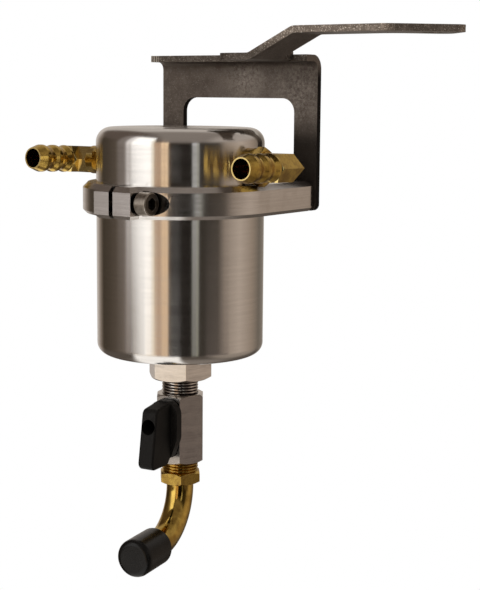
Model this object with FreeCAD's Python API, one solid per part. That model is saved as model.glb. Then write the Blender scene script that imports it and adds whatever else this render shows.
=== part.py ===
import FreeCAD, Part
import math
import os
from FreeCAD import Vector, Placement, Rotation

# Oil catch can on a folded bracket. Millimetres, Z up, arm towards +X, valve lever towards -Y.
# The sub-parts are drawn round the can's own axis, with Z = 0 at the clamp ring's underside,
# and moved at the end so that the origin is the middle of the bolt hole in the bracket's arm.

# Fits
running_gap = 0.05
bolt_gap = 0.25

# Can: two turned halves that meet inside the clamp ring
can_radius = 38.0
can_top = 38.2
can_bottom = -64.3
can_edge_radius = 5.0
joint_height = 7.0
housing_wall = 6.0
housing_roof = 4.0
housing_roof_round = 3.0
bowl_wall = 3.0
bowl_floor = 5.0
bowl_floor_round = 4.0
bowl_step_depth = 4.0
bowl_step_height = 2.0
spigot_recess_wall = 3.0
spigot_height = 6.0
spigot_wall = 3.5
seal_groove_depth = 1.8
seal_groove_rise = 1.8
seal_groove_width = 2.4
seal_gap = 0.1

# Baffle plate and mesh pad between the two halves
baffle_thickness = 1.5
baffle_radius = 26.0
baffle_tab_count = 3
baffle_tab_width = 12.0
baffle_hole_radius = 2.2
baffle_inner_ring = 11.5
baffle_inner_count = 6
baffle_outer_ring = 20.0
baffle_outer_count = 12
pad_radius = 26.0
pad_height = 8.0
retainer_radius = 22.0
retainer_thickness = 1.5
pad_screw_radius = 2.0
pad_screw_head_radius = 3.8
pad_screw_head_height = 2.4
pad_screw_head_round = 1.0
pad_screw_slot_width = 1.0
pad_screw_slot_depth = 1.1
pad_screw_end = 1.0
pad_nut_flats = 7.0
pad_nut_height = 3.2

# Clamp ring: round at the front, square at the back where the bracket is bolted on
ring_wall = 6.0
ring_back_wall = 5.1
ring_height = 13.8
ring_low_chamfer = 1.6
ring_high_chamfer = 2.3
clamp_reach = 4.8
clamp_left = -9.3
clamp_right = 10.8
clamp_slit = 2.2
clamp_screw_radius = 3.0
clamp_screw_from_bore = 5.0
clamp_head_radius = 5.0
clamp_head_height = 6.0
clamp_head_seat = 12.0
clamp_pocket_radius = 5.5
clamp_socket_flats = 5.0
clamp_socket_depth = 3.2
screw_head_chamfer = 0.5
screw_end_chamfer = 0.6

# Bracket: folded from one plate
plate_thickness = 3.0
plate_left_reach = -0.2
plate_right_reach = 1.4
plate_bottom = 0.0
plate_corner_radius = 3.0
window_side_wall = 12.5
window_bottom = 14.5
window_top = 51.3
window_corner_radius = 6.5
bend_inner_radius = 3.5
flange_top = 71.0
flange_depth = 12.5
tongue_left = 16.3
tongue_front = 2.0
tongue_corner_radius = 8.0
tongue_joint_overlap = 1.0
ramp_start = 34.9
ramp_run = 22.6
ramp_bend_inner_radius = 4.0
arm_rise = 11.1
arm_back = 24.7
arm_corner_x = 103.0
arm_end_run = 35.0
arm_end_corner_radius = 4.5
arm_outer_bend_radius = 9.0
arm_inner_bend_radius = 14.0
stub_left = 37.5
stub_corner_radius = 3.5
arm_hole_radius = 4.25
arm_hole_from_end = 12.0

# Screws from behind the plate into the clamp ring
bracket_screw_inset = 10.0
bracket_screw_radius = 3.0
bracket_hole_depth = 12.0
bracket_screw_end_room = 1.0
bracket_head_radius = 5.0
bracket_head_height = 6.0
bracket_socket_flats = 5.0
bracket_socket_depth = 3.2
bracket_washer_radius = 6.2
bracket_washer_thickness = 1.2

# Brass hose fittings: each turns through a right angle and points towards -Y
port_washer_gap = 0.1
port_thread_radius = 6.58
port_washer_round = 0.6
port_spot_depth = 2.0
port_nut_flats = 15.1
port_nut_dip = 0.6
port_nut_from_chamfer = 0.2
port_nut_length = 4.8
right_elbow_gap = 0.5
left_elbow_gap = 4.7
elbow_flats = 12.2
elbow_front = 9.2
elbow_chamfer = 1.0
elbow_bore = 3.6
elbow_bore_past_barb = 3.0
right_elbow_to_barb = 7.6
left_elbow_to_barb = 10.4
right_elbow_angle = 1.4
left_elbow_angle = 2.6
barb_reach = 30.8
barb_bore = 4.1
barb_tip_radius = 5.1
barb_tip_length = 1.0
barb_crest_radius = 6.3
barb_crest_ease = 0.35
barb_ramp_end = 1.8
barb_valley_radius = 5.35
barb_valley_start = 3.3
barb_valley_end = 4.4
barb_shoulder_ease = 0.25
barb_spigot_radius = 4.9
barb_land = 1.0
barb_first_crest = 5.5
barb_middle_crest = 13.5

# Drain: bung, ball valve, brass tail, bent tube and rubber cap
pipe_thread_radius = 8.33
bung_flats = 26.3
bung_height = 11.3
bung_angle = 77.6
bung_bore = 4.5
bung_thread_showing = 7.0
bung_thread_entered = 3.8
bung_seal_radius = 13.6
bung_seal_thickness = 1.0
valve_angle = 6.5
valve_flats = 21.0
valve_length = 32.0
ball_from_top = 11.0
ball_radius = 6.3
ball_pocket_gap = 0.2
valve_bore = 3.6
seat_reach = 6.5
seat_start = 3.4
insert_length = 4.0
stem_radius = 3.0
stem_flat_width = 2.0
stem_flat_height = 4.6
stem_tang_start = -4.3
stem_square = 4.2
stem_shoulder_gap = 0.1
seal_length = 1.8
gland_radius = 5.0
lever_gap = 0.5
lever_plate_thickness = 4.0
lever_plate_half = 7.3
lever_plate_top = 9.6
lever_plate_shoulder = -7.5
lever_plate_round = 6.3
lever_wing_half = 4.0
lever_wing_set_in = 1.0
lever_wing_slope = 2.0
lever_wing_bottom = -19.4
lever_wing_heel = 6.0
lever_wing_reach_top = 15.6
lever_wing_reach_bottom = 20.0
lever_wing_back_bottom = 6.0
lever_wing_round = 3.0
lever_edge_round = 1.2
lever_edge_start = 5.0
lever_screw_radius = 1.5
lever_screw_head_radius = 3.0
lever_screw_head_height = 2.2
lever_screw_reach = 6.0
lever_recess_gap = 0.4
tail_gap = 0.9
tail_thread_showing = 4.9
tail_hex_height = 5.5
tail_flats = 17.8
tail_bore = 4.8
tube_radius = 6.25
tube_wall = 1.25
tube_seat_depth = 0.5
tube_drop = 6.4
tube_bend_radius = 23.0
tube_front_run = 18.5
tube_angle = 10.0
cap_wall = 2.35
cap_grip = 17.5
cap_end_wall = 3.5
cap_dome = 2.6
cap_mouth_round = 0.8


# Places that follow from the sizes above
spigot_top = joint_height + spigot_height
spigot_bore = can_radius - spigot_recess_wall - spigot_wall
seal_groove_radius = can_radius - spigot_recess_wall - seal_groove_depth
seal_groove_low = joint_height + seal_groove_rise
seal_section = (seal_groove_depth - seal_gap) / 2
baffle_hole_rings = ((baffle_inner_ring, baffle_inner_count), (baffle_outer_ring, baffle_outer_count))
ring_radius = can_radius + ring_wall
clamp_front = -ring_radius - clamp_reach
clamp_screw_y = -can_radius - clamp_screw_from_bore
plate_face_y = can_radius + ring_back_wall
plate_left = -ring_radius - plate_left_reach
plate_right = ring_radius + plate_right_reach
window_left = plate_left + window_side_wall
window_right = plate_right - window_side_wall
flange_front = plate_face_y + plate_thickness - flange_depth
ramp_end = ramp_start + ramp_run
arm_top = flange_top + arm_rise
bracket_screw_x = ring_radius - bracket_screw_inset
port_height = ring_height - port_nut_dip + port_nut_flats / math.sqrt(3)
port_washer_radius = port_height - ring_height - port_washer_gap
nut_start = ring_radius - ring_high_chamfer + port_nut_from_chamfer
port_washer_thickness = nut_start - can_radius
elbow_corner = elbow_flats / math.sqrt(3)
right_elbow_start = nut_start + port_nut_length + right_elbow_gap
left_elbow_start = nut_start + port_nut_length + left_elbow_gap
right_barb_x = right_elbow_start + right_elbow_to_barb
left_barb_x = -left_elbow_start - left_elbow_to_barb
barb_shoulder = barb_reach - elbow_front
barb_last_crest = barb_shoulder - barb_land / 2 - barb_shoulder_ease
barb_crests = (barb_first_crest, barb_middle_crest, barb_last_crest)
bung_low = can_bottom - bung_seal_thickness - bung_height
valve_top = bung_low - bung_thread_showing
valve_low = valve_top - valve_length
bung_thread_low = valve_top - bung_thread_entered
ball_height = valve_top - ball_from_top
ball_pocket_radius = ball_radius + ball_pocket_gap
insert_low = ball_height - seat_reach - insert_length
seal_pocket_end = -ball_pocket_radius - stem_shoulder_gap
gland_start = seal_pocket_end - seal_length
lever_start = -valve_flats / 2 - lever_gap
stem_square_end = lever_start - lever_plate_thickness
tail_thread_top = insert_low - tail_gap
tail_hex_top = valve_low - tail_thread_showing
tail_hex_low = tail_hex_top - tail_hex_height
tube_top = tail_hex_top - tube_seat_depth
tube_axis_height = tube_top - tube_drop - tube_bend_radius
tube_end = tube_bend_radius + tube_front_run
cap_start = tube_end - cap_grip
cap_end = tube_end + cap_end_wall


def hexagon(flats, height, corner_angle=0.0):
    across_corners = flats / math.cos(math.pi / 6)
    points = []
    for k in range(7):
        angle = math.radians(corner_angle + 60 * k)
        points.append(Vector(across_corners / 2 * math.cos(angle), across_corners / 2 * math.sin(angle), 0))
    return Part.Face(Part.makePolygon(points)).extrude(Vector(0, 0, height))


def chamfered_hexagon(flats, height, corner_angle):
    # a cone takes the corners off at 30 degrees, as on a turned nut
    body = hexagon(flats, height, corner_angle)
    reach = flats / math.sqrt(3)
    drop = (reach - flats / 2 * 0.97) * math.tan(math.radians(30))
    outline = [(0, 0), (flats / 2 * 0.97, 0), (reach + 0.01, drop), (reach + 0.01, height - drop),
               (flats / 2 * 0.97, height), (0, height)]
    return body.common(profile(outline))


def turned(points):
    return Part.Face(Part.makePolygon(points)).revolve(Vector(0, 0, 0), Vector(0, 0, 1), 360)


def profile(pairs):
    points = [Vector(r, 0, z) for r, z in pairs]
    return turned(points + points[:1])


def cylinder(radius, start, end, x=0.0, y=0.0):
    return Part.makeCylinder(radius, end - start, Vector(x, y, start))


def along_x(shape):
    # a part drawn upwards from the origin is laid towards +X
    return shape.transformed(Placement(Vector(), Rotation(Vector(0, 1, 0), 90)).toMatrix())


def along_front(shape):
    # a part drawn upwards from the origin is laid towards -Y
    return shape.transformed(Placement(Vector(), Rotation(Vector(1, 0, 0), 90)).toMatrix())


def turned_about_axis(shape, angle):
    return shape.transformed(Placement(Vector(), Rotation(Vector(0, 0, 1), angle)).toMatrix())


def moved(shape, x=0.0, y=0.0, z=0.0):
    copy = shape.copy()
    copy.translate(Vector(x, y, z))
    return copy


def box(x0, x1, y0, y1, z0, z1):
    return Part.makeBox(x1 - x0, y1 - y0, z1 - z0, Vector(x0, y0, z0))


def fillet_where(shape, radius, chosen):
    edges = [e for e in shape.Edges if chosen(e)]
    return shape.makeFillet(radius, edges)


def chamfer_where(shape, size, chosen):
    edges = [e for e in shape.Edges if chosen(e)]
    return shape.makeChamfer(size, edges)


def at_height(edge, z):
    return edge.BoundBox.ZLength < 1e-6 and abs(edge.BoundBox.ZMin - z) < 1e-6


def on_circle(edge, radius):
    return isinstance(edge.Curve, Part.Circle) and abs(edge.Curve.Radius - radius) < 1e-6


def make_upper_housing():
    # turned from bar: thick wall at the ports, thinner where the bowl's spigot enters
    body = cylinder(can_radius, joint_height, can_top)
    body = fillet_where(body, can_edge_radius, lambda e: at_height(e, can_top))
    baffle_top = spigot_top + baffle_thickness
    recess = cylinder(can_radius - spigot_recess_wall, joint_height, baffle_top)
    chamber = cylinder(can_radius - housing_wall, baffle_top, can_top - housing_roof)
    chamber = fillet_where(chamber, housing_roof_round, lambda e: at_height(e, can_top - housing_roof))
    ports = moved(along_x(Part.makeCylinder(port_thread_radius, 2 * can_radius)), -can_radius, 0, port_height)
    return body.cut(recess).cut(chamber).cut(ports)


def make_bowl():
    # outside, with the spigot that enters the upper housing
    outer = can_radius - running_gap
    spigot = can_radius - spigot_recess_wall - running_gap
    inner = can_radius - bowl_wall
    body = cylinder(outer, can_bottom, joint_height)
    body = fillet_where(body, can_edge_radius, lambda e: at_height(e, can_bottom))
    body = body.fuse(cylinder(spigot, joint_height, spigot_top)).removeSplitter()
    groove = cylinder(spigot + seal_groove_depth, seal_groove_low, seal_groove_low + seal_groove_width)
    groove = groove.cut(cylinder(seal_groove_radius, seal_groove_low, seal_groove_low + seal_groove_width))
    # inside, stepped in under the spigot
    step = joint_height - bowl_step_depth
    step_end = step + bowl_step_height
    chamber = cylinder(inner, can_bottom + bowl_floor, step)
    chamber = fillet_where(chamber, bowl_floor_round, lambda e: at_height(e, can_bottom + bowl_floor))
    chamber = chamber.fuse(profile([(0, step), (inner, step), (spigot_bore, step_end), (0, step_end)]))
    chamber = chamber.fuse(cylinder(spigot_bore, step_end, spigot_top))
    drain = cylinder(pipe_thread_radius, can_bottom, can_bottom + bowl_floor)
    return body.cut(groove).cut(chamber).cut(drain)


def make_bowl_seal():
    return Part.makeTorus(seal_groove_radius + seal_section, seal_section,
                          Vector(0, 0, seal_groove_low + seal_section))


def make_baffle_plate():
    # perforated disc on tabs, which are gripped between the housing's shoulder and the bowl's spigot
    top = spigot_top + baffle_thickness
    rim = can_radius - spigot_recess_wall
    plate = cylinder(baffle_radius, spigot_top, top)
    for k in range(baffle_tab_count):
        tab = box(0, rim, -baffle_tab_width / 2, baffle_tab_width / 2, spigot_top, top)
        plate = plate.fuse(turned_about_axis(tab, 360 * k / baffle_tab_count))
    plate = plate.common(cylinder(rim, spigot_top, top)).removeSplitter()
    plate = plate.cut(cylinder(pad_screw_radius, spigot_top, top))
    for radius, count in baffle_hole_rings:
        for k in range(count):
            angle = 2 * math.pi * k / count
            hole = cylinder(baffle_hole_radius, spigot_top, top, radius * math.cos(angle), radius * math.sin(angle))
            plate = plate.cut(hole)
    return plate


def make_filter_pad():
    low = spigot_top - pad_height
    pad = cylinder(pad_radius, low, spigot_top)
    return pad.cut(cylinder(pad_screw_radius, low, spigot_top))


def make_pad_retainer():
    top = spigot_top - pad_height
    disc = cylinder(retainer_radius, top - retainer_thickness, top)
    return disc.cut(cylinder(pad_screw_radius, top - retainer_thickness, top))


def make_pad_screw():
    seat = spigot_top - pad_height - retainer_thickness
    head = cylinder(pad_screw_head_radius, seat - pad_screw_head_height, seat)
    head = fillet_where(head, pad_screw_head_round, lambda e: at_height(e, seat - pad_screw_head_height))
    slot = box(-pad_screw_head_radius, pad_screw_head_radius, -pad_screw_slot_width / 2, pad_screw_slot_width / 2,
               seat - pad_screw_head_height, seat - pad_screw_head_height + pad_screw_slot_depth)
    shank = cylinder(pad_screw_radius, seat, spigot_top + baffle_thickness + pad_nut_height + pad_screw_end)
    return head.cut(slot).fuse(shank)


def make_pad_nut():
    nut = moved(chamfered_hexagon(pad_nut_flats, pad_nut_height, 0), 0, 0, spigot_top + baffle_thickness)
    return nut.cut(cylinder(pad_screw_radius, spigot_top, spigot_top + baffle_thickness + pad_nut_height))


def ring_outline(radius, back, front, left, right):
    # round front with a clamp boss, tangent sides, square back
    start = Vector(right, -math.sqrt(radius ** 2 - right ** 2), 0)
    finish = Vector(left, -math.sqrt(radius ** 2 - left ** 2), 0)
    turn = math.radians(-45)
    right_mid = Vector(radius * math.cos(turn), radius * math.sin(turn), 0)
    left_mid = Vector(-right_mid.x, right_mid.y, 0)
    edges = [
        Part.Arc(start, right_mid, Vector(radius, 0, 0)).toShape(),
        Part.makeLine(Vector(radius, 0, 0), Vector(radius, back, 0)),
        Part.makeLine(Vector(radius, back, 0), Vector(-radius, back, 0)),
        Part.makeLine(Vector(-radius, back, 0), Vector(-radius, 0, 0)),
        Part.Arc(Vector(-radius, 0, 0), left_mid, finish).toShape(),
        Part.makeLine(finish, Vector(left, front, 0)),
        Part.makeLine(Vector(left, front, 0), Vector(right, front, 0)),
        Part.makeLine(Vector(right, front, 0), start),
    ]
    return Part.Face(Part.Wire(edges))


def make_clamp_ring():
    face = ring_outline(ring_radius, plate_face_y, clamp_front, clamp_left, clamp_right)
    body = face.extrude(Vector(0, 0, ring_height))
    body = chamfer_where(body, ring_low_chamfer, lambda e: at_height(e, 0))
    body = chamfer_where(body, ring_high_chamfer, lambda e: at_height(e, ring_height))
    # bore for the can, and the split between the clamp blocks
    body = body.cut(cylinder(can_radius, 0, ring_height))
    body = body.cut(box(-clamp_slit / 2, clamp_slit / 2, clamp_front, 0, 0, ring_height))
    # clamp screw: thread in the left block, clearance and head pocket in the right one
    mid = ring_height / 2
    thread = along_x(Part.makeCylinder(clamp_screw_radius, -clamp_left - clamp_slit / 2))
    body = body.cut(moved(thread, clamp_left, clamp_screw_y, mid))
    shank_hole = along_x(Part.makeCylinder(clamp_screw_radius + bolt_gap, clamp_head_seat - clamp_slit / 2))
    body = body.cut(moved(shank_hole, clamp_slit / 2, clamp_screw_y, mid))
    pocket = along_x(Part.makeCylinder(clamp_pocket_radius, ring_radius))
    body = body.cut(moved(pocket, clamp_head_seat, clamp_screw_y, mid))
    for x in (-bracket_screw_x, bracket_screw_x):
        hole = along_front(Part.makeCylinder(bracket_screw_radius, bracket_hole_depth))
        body = body.cut(moved(hole, x, plate_face_y, mid))
    return body


def socket_screw(radius, length, head_radius, head_height, flats, depth):
    # head above the origin, shank below it
    head = cylinder(head_radius, 0, head_height)
    head = chamfer_where(head, screw_head_chamfer, lambda e: at_height(e, head_height))
    head = head.cut(moved(hexagon(flats, depth), 0, 0, head_height - depth))
    shank = cylinder(radius, -length, 0)
    shank = chamfer_where(shank, screw_end_chamfer, lambda e: at_height(e, -length))
    return head.fuse(shank)


def make_clamp_screw():
    screw = socket_screw(clamp_screw_radius, clamp_head_seat - clamp_left, clamp_head_radius,
                         clamp_head_height, clamp_socket_flats, clamp_socket_depth)
    return moved(along_x(screw), clamp_head_seat, clamp_screw_y, ring_height / 2)


def make_bracket_screws():
    seat = plate_face_y + plate_thickness + bracket_washer_thickness
    length = bracket_washer_thickness + plate_thickness + bracket_hole_depth - bracket_screw_end_room
    screw = socket_screw(bracket_screw_radius, length, bracket_head_radius, bracket_head_height,
                         bracket_socket_flats, bracket_socket_depth)
    screw = screw.transformed(Placement(Vector(), Rotation(Vector(1, 0, 0), -90)).toMatrix())
    pair = [moved(screw, x, seat, ring_height / 2) for x in (-bracket_screw_x, bracket_screw_x)]
    return Part.makeCompound(pair)


def make_bracket_washers():
    washer = Part.makeCylinder(bracket_washer_radius, bracket_washer_thickness)
    washer = washer.cut(Part.makeCylinder(bracket_screw_radius + bolt_gap, bracket_washer_thickness))
    washer = along_front(washer)
    face = plate_face_y + plate_thickness + bracket_washer_thickness
    pair = [moved(washer, x, face, ring_height / 2) for x in (-bracket_screw_x, bracket_screw_x)]
    return Part.makeCompound(pair)


def bracket_upright():
    # plate, bend and flange are one extruded section, trimmed by the front outline
    y0 = plate_face_y
    y1 = plate_face_y + plate_thickness
    outer = bend_inner_radius + plate_thickness
    low = flange_top - plate_thickness
    diagonal = math.sqrt(0.5)
    outer_mid = Vector(0, y1 - outer + outer * diagonal, flange_top - outer + outer * diagonal)
    inner_mid = Vector(0, y0 - bend_inner_radius * (1 - diagonal), low - bend_inner_radius * (1 - diagonal))
    edges = [
        Part.makeLine(Vector(0, y0, plate_bottom), Vector(0, y1, plate_bottom)),
        Part.makeLine(Vector(0, y1, plate_bottom), Vector(0, y1, flange_top - outer)),
        Part.Arc(Vector(0, y1, flange_top - outer), outer_mid, Vector(0, y1 - outer, flange_top)).toShape(),
        Part.makeLine(Vector(0, y1 - outer, flange_top), Vector(0, flange_front, flange_top)),
        Part.makeLine(Vector(0, flange_front, flange_top), Vector(0, flange_front, low)),
        Part.makeLine(Vector(0, flange_front, low), Vector(0, y0 - bend_inner_radius, low)),
        Part.Arc(Vector(0, y0 - bend_inner_radius, low), inner_mid,
                 Vector(0, y0, low - bend_inner_radius)).toShape(),
        Part.makeLine(Vector(0, y0, low - bend_inner_radius), Vector(0, y0, plate_bottom)),
    ]
    body = Part.Face(Part.Wire(edges)).extrude(Vector(plate_right - plate_left, 0, 0))
    body.translate(Vector(plate_left, 0, 0))
    body = fillet_where(body, plate_corner_radius, lambda e: e.BoundBox.YLength > plate_thickness - 0.01
                        and at_height(e, plate_bottom) and e.BoundBox.XLength < 1e-6)
    window = box(window_left, window_right, y0 - 1, y1 + 1, window_bottom, window_top)
    window = fillet_where(window, window_corner_radius,
                          lambda e: e.BoundBox.YLength > plate_thickness)
    return body.cut(window)


def bracket_arm():
    # side view of tongue, ramp and arm as a plate folded twice, carried across the full depth
    slope = math.atan2(arm_top - flange_top, ramp_end - ramp_start)
    far = arm_corner_x + arm_end_run
    t = plate_thickness
    shift = t * math.tan(slope / 2)
    top = [(tongue_left, flange_top), (ramp_start, flange_top), (ramp_end, arm_top), (far, arm_top)]
    low = [(far, arm_top - t), (ramp_end + shift, arm_top - t), (ramp_start + shift, flange_top - t),
           (tongue_left, flange_top - t)]
    points = top + low + top[:1]
    strip = Part.Face(Part.makePolygon([Vector(x, 0, z) for x, z in points]))
    strip = strip.extrude(Vector(0, plate_face_y, 0))
    outer = ramp_bend_inner_radius + t
    folds = [(top[1], ramp_bend_inner_radius), (low[2], outer), (top[2], outer), (low[1], ramp_bend_inner_radius)]
    for (x, z), radius in folds:
        strip = fillet_where(strip, radius, lambda e, x=x, z=z: e.BoundBox.YLength > 1
                             and abs(e.BoundBox.XMin - x) < 1e-4 and abs(e.BoundBox.ZMin - z) < 1e-4)
    return strip.common(arm_plan())


def arm_plan():
    # plan of tongue and arm: straight, then turned 45 degrees towards the back, cut square
    d = math.sqrt(0.5)
    width = arm_back - tongue_front
    corner = Vector(arm_corner_x, tongue_front, 0)
    end_front = corner + Vector(arm_end_run * d, arm_end_run * d, 0)
    end_back = end_front + Vector(-width * d, width * d, 0)
    inner_x = arm_corner_x - width * math.tan(math.radians(22.5))
    inner = Vector(inner_x, arm_back, 0)
    back = flange_front + tongue_joint_overlap
    points = [
        Vector(tongue_left, tongue_front, 0), corner, end_front, end_back, inner,
        Vector(stub_left, arm_back, 0), Vector(stub_left, back, 0), Vector(tongue_left, back, 0),
        Vector(tongue_left, tongue_front, 0),
    ]
    plan = Part.Face(Part.makePolygon(points)).extrude(Vector(0, 0, arm_top + 1))

    def upright_at(edge, point):
        box_ = edge.BoundBox
        return (box_.ZLength > 1 and box_.XLength < 1e-6 and box_.YLength < 1e-6
                and abs(box_.XMin - point.x) < 1e-4 and abs(box_.YMin - point.y) < 1e-4)

    rounds = [
        (tongue_corner_radius, points[0]), (arm_outer_bend_radius, corner),
        (arm_end_corner_radius, end_front), (arm_end_corner_radius, end_back),
        (arm_inner_bend_radius, inner), (stub_corner_radius, points[5]),
    ]
    for radius, point in rounds:
        plan = fillet_where(plan, radius, lambda e, p=point: upright_at(e, p))
    return plan


def arm_hole_centre():
    d = math.sqrt(0.5)
    width = arm_back - tongue_front
    end_mid_x = arm_corner_x + arm_end_run * d - width / 2 * d
    end_mid_y = tongue_front + arm_end_run * d + width / 2 * d
    x = end_mid_x - arm_hole_from_end * d
    y = end_mid_y - arm_hole_from_end * d
    return Vector(x, y, arm_top - plate_thickness / 2)


def make_bracket():
    body = bracket_upright().fuse(bracket_arm()).removeSplitter()
    hole = arm_hole_centre()
    body = body.cut(cylinder(arm_hole_radius, arm_top - plate_thickness - 1, arm_top + 1, hole.x, hole.y))
    for x in (-bracket_screw_x, bracket_screw_x):
        through = along_front(Part.makeCylinder(bracket_screw_radius + bolt_gap, plate_thickness + 2))
        body = body.cut(moved(through, x, plate_face_y + plate_thickness + 1, ring_height / 2))
    return body


def port_washer(side):
    washer = Part.makeCylinder(port_washer_radius, port_washer_thickness)
    washer = fillet_where(washer, port_washer_round, lambda e: on_circle(e, port_washer_radius))
    washer = washer.cut(Part.makeCylinder(port_thread_radius, port_washer_thickness))
    # its back follows the can's curved side
    washer = moved(along_x(washer), can_radius, 0, port_height)
    spot = along_x(Part.makeCylinder(port_washer_radius, port_spot_depth))
    spot = spot.cut(along_x(Part.makeCylinder(port_thread_radius, port_spot_depth)))
    spot = moved(spot, can_radius - port_spot_depth, 0, port_height)
    spot = spot.cut(cylinder(can_radius, joint_height, can_top))
    return facing(washer.fuse(spot).removeSplitter(), side)


def facing(shape, side):
    if side > 0:
        return shape
    return shape.transformed(Placement(Vector(), Rotation(Vector(0, 0, 1), 180)).toMatrix())


def port_nut(side):
    # a corner points down past the ring's chamfered edge
    nut = chamfered_hexagon(port_nut_flats, port_nut_length, 0)
    nut = nut.cut(Part.makeCylinder(port_thread_radius, port_nut_length))
    return facing(moved(along_x(nut), nut_start, 0, port_height), side)


def lifted(shape, angle):
    # the elbows are screwed home with their barbs slightly up from level
    return shape.transformed(Placement(Vector(), Rotation(Vector(1, 0, 0), -angle),
                                       Vector(0, 0, port_height)).toMatrix())


def mitred(bar, barb_x, towards_front):
    # keeps the part of a bar on its own side of the upright plane through the elbow's corner
    size = 2 * barb_x
    keep = [Vector(barb_x - size, -size, 0), Vector(barb_x + size, size, 0)]
    if towards_front:
        keep.append(Vector(barb_x + size, -size, 0))
    else:
        keep.append(Vector(barb_x - size, size, 0))
    wedge = Part.Face(Part.makePolygon(keep + keep[:1])).extrude(Vector(0, 0, port_height + elbow_flats))
    return bar.common(wedge)


def elbow(side, barb_x, start):
    # two hexagonal bars meet at a mitre, corners to the sides: one holds the barb, one the port's thread
    length = elbow_front + elbow_corner
    front = hexagon(elbow_flats, length)
    front = front.common(profile([(0, 0), (elbow_corner - elbow_chamfer, 0), (elbow_corner + 0.01, elbow_chamfer),
                                  (elbow_corner + 0.01, length), (0, length)]))
    front = front.transformed(Placement(Vector(), Rotation(Vector(1, 0, 0), -90)).toMatrix())
    front = mitred(moved(front, barb_x, -elbow_front, port_height), barb_x, True)
    back = along_x(hexagon(elbow_flats, barb_x + elbow_corner - start, 90))
    back = mitred(moved(back, start, 0, port_height), barb_x, False)
    inner_end = can_radius - housing_wall
    stem = along_x(Part.makeCylinder(port_thread_radius, start - inner_end))
    body = front.fuse(back).fuse(moved(stem, inner_end, 0, port_height)).removeSplitter()
    bore = along_x(Part.makeCylinder(elbow_bore, barb_x - inner_end + elbow_bore_past_barb))
    body = body.cut(moved(bore, inner_end, 0, port_height))
    socket = along_front(Part.makeCylinder(barb_spigot_radius, elbow_front))
    body = body.cut(moved(socket, barb_x, 0, port_height))
    if side > 0:
        return body
    return body.mirror(Vector(), Vector(1, 0, 0))


def make_barb(barb_x):
    # turned barb: the spigot end enters the elbow, the tip points to the front
    pairs = [(barb_bore, 0), (barb_tip_radius, 0), (barb_tip_radius, barb_tip_length)]
    for crest in barb_crests:
        pairs.append((barb_crest_radius - barb_crest_ease, crest - barb_ramp_end))
        pairs.append((barb_crest_radius, crest - barb_land / 2))
        pairs.append((barb_crest_radius, crest + barb_land / 2))
        if crest < barb_last_crest:
            pairs.append((barb_valley_radius, crest + barb_valley_start))
            pairs.append((barb_valley_radius, crest + barb_valley_end))
    pairs.append((barb_crest_radius - barb_shoulder_ease, barb_shoulder))
    pairs.append((barb_spigot_radius, barb_shoulder))
    pairs.append((barb_spigot_radius, barb_reach))
    pairs.append((barb_bore, barb_reach))
    body = profile(pairs)
    body = body.transformed(Placement(Vector(), Rotation(Vector(1, 0, 0), -90)).toMatrix())
    return moved(body, barb_x, -barb_reach, port_height)


def make_drain_bung():
    top = can_bottom - bung_seal_thickness
    hexa = chamfered_hexagon(bung_flats, top - bung_low, bung_angle)
    body = moved(hexa, 0, 0, bung_low)
    body = body.fuse(cylinder(pipe_thread_radius, top, can_bottom + bowl_floor))
    body = body.fuse(cylinder(pipe_thread_radius, bung_thread_low, bung_low))
    return body.cut(cylinder(bung_bore, bung_thread_low, can_bottom + bowl_floor))


def make_bung_seal():
    ring = cylinder(bung_seal_radius, can_bottom - bung_seal_thickness, can_bottom)
    return ring.cut(cylinder(pipe_thread_radius, can_bottom - bung_seal_thickness, can_bottom))


def valve_turned(shape):
    return turned_about_axis(shape, valve_angle)


def make_valve_body():
    body = chamfered_hexagon(valve_flats, valve_top - valve_low, 0)
    body = moved(body, 0, 0, valve_low)
    body = body.cut(cylinder(pipe_thread_radius, bung_thread_low, valve_top))
    body = body.cut(cylinder(valve_bore, ball_height, bung_thread_low))
    body = body.cut(cylinder(ball_pocket_radius, ball_height - seat_reach, ball_height + seat_reach))
    body = body.cut(cylinder(pipe_thread_radius, valve_low, ball_height - seat_reach))
    # gland pocket and stem bore, seen from the front
    pocket = along_front(Part.makeCylinder(gland_radius, valve_flats / 2 + seal_pocket_end))
    body = body.cut(moved(pocket, 0, seal_pocket_end, ball_height))
    bore = along_front(Part.makeCylinder(stem_radius + running_gap, valve_flats / 2))
    return valve_turned(body.cut(moved(bore, 0, 0, ball_height)))


def make_valve_seats():
    seats = []
    for side in (-1, 1):
        low = min(side * seat_start, side * seat_reach)
        ring = cylinder(ball_pocket_radius, ball_height + low, ball_height + low + seat_reach - seat_start)
        ring = ring.cut(cylinder(valve_bore, ball_height - seat_reach, ball_height + seat_reach))
        seats.append(ring.cut(Part.makeSphere(ball_radius + running_gap, Vector(0, 0, ball_height))))
    return Part.makeCompound(seats)


def make_valve_insert():
    ring = cylinder(pipe_thread_radius, insert_low, insert_low + insert_length)
    return ring.cut(cylinder(valve_bore, insert_low, insert_low + insert_length))


def make_valve_ball():
    ball = Part.makeSphere(ball_radius, Vector(0, 0, ball_height))
    ball = ball.cut(cylinder(valve_bore, ball_height - ball_radius, ball_height + ball_radius))
    slot = box(-stem_flat_width / 2, stem_flat_width / 2, -ball_radius, stem_tang_start,
               ball_height - ball_radius, ball_height + ball_radius)
    return valve_turned(ball.cut(slot))


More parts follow.
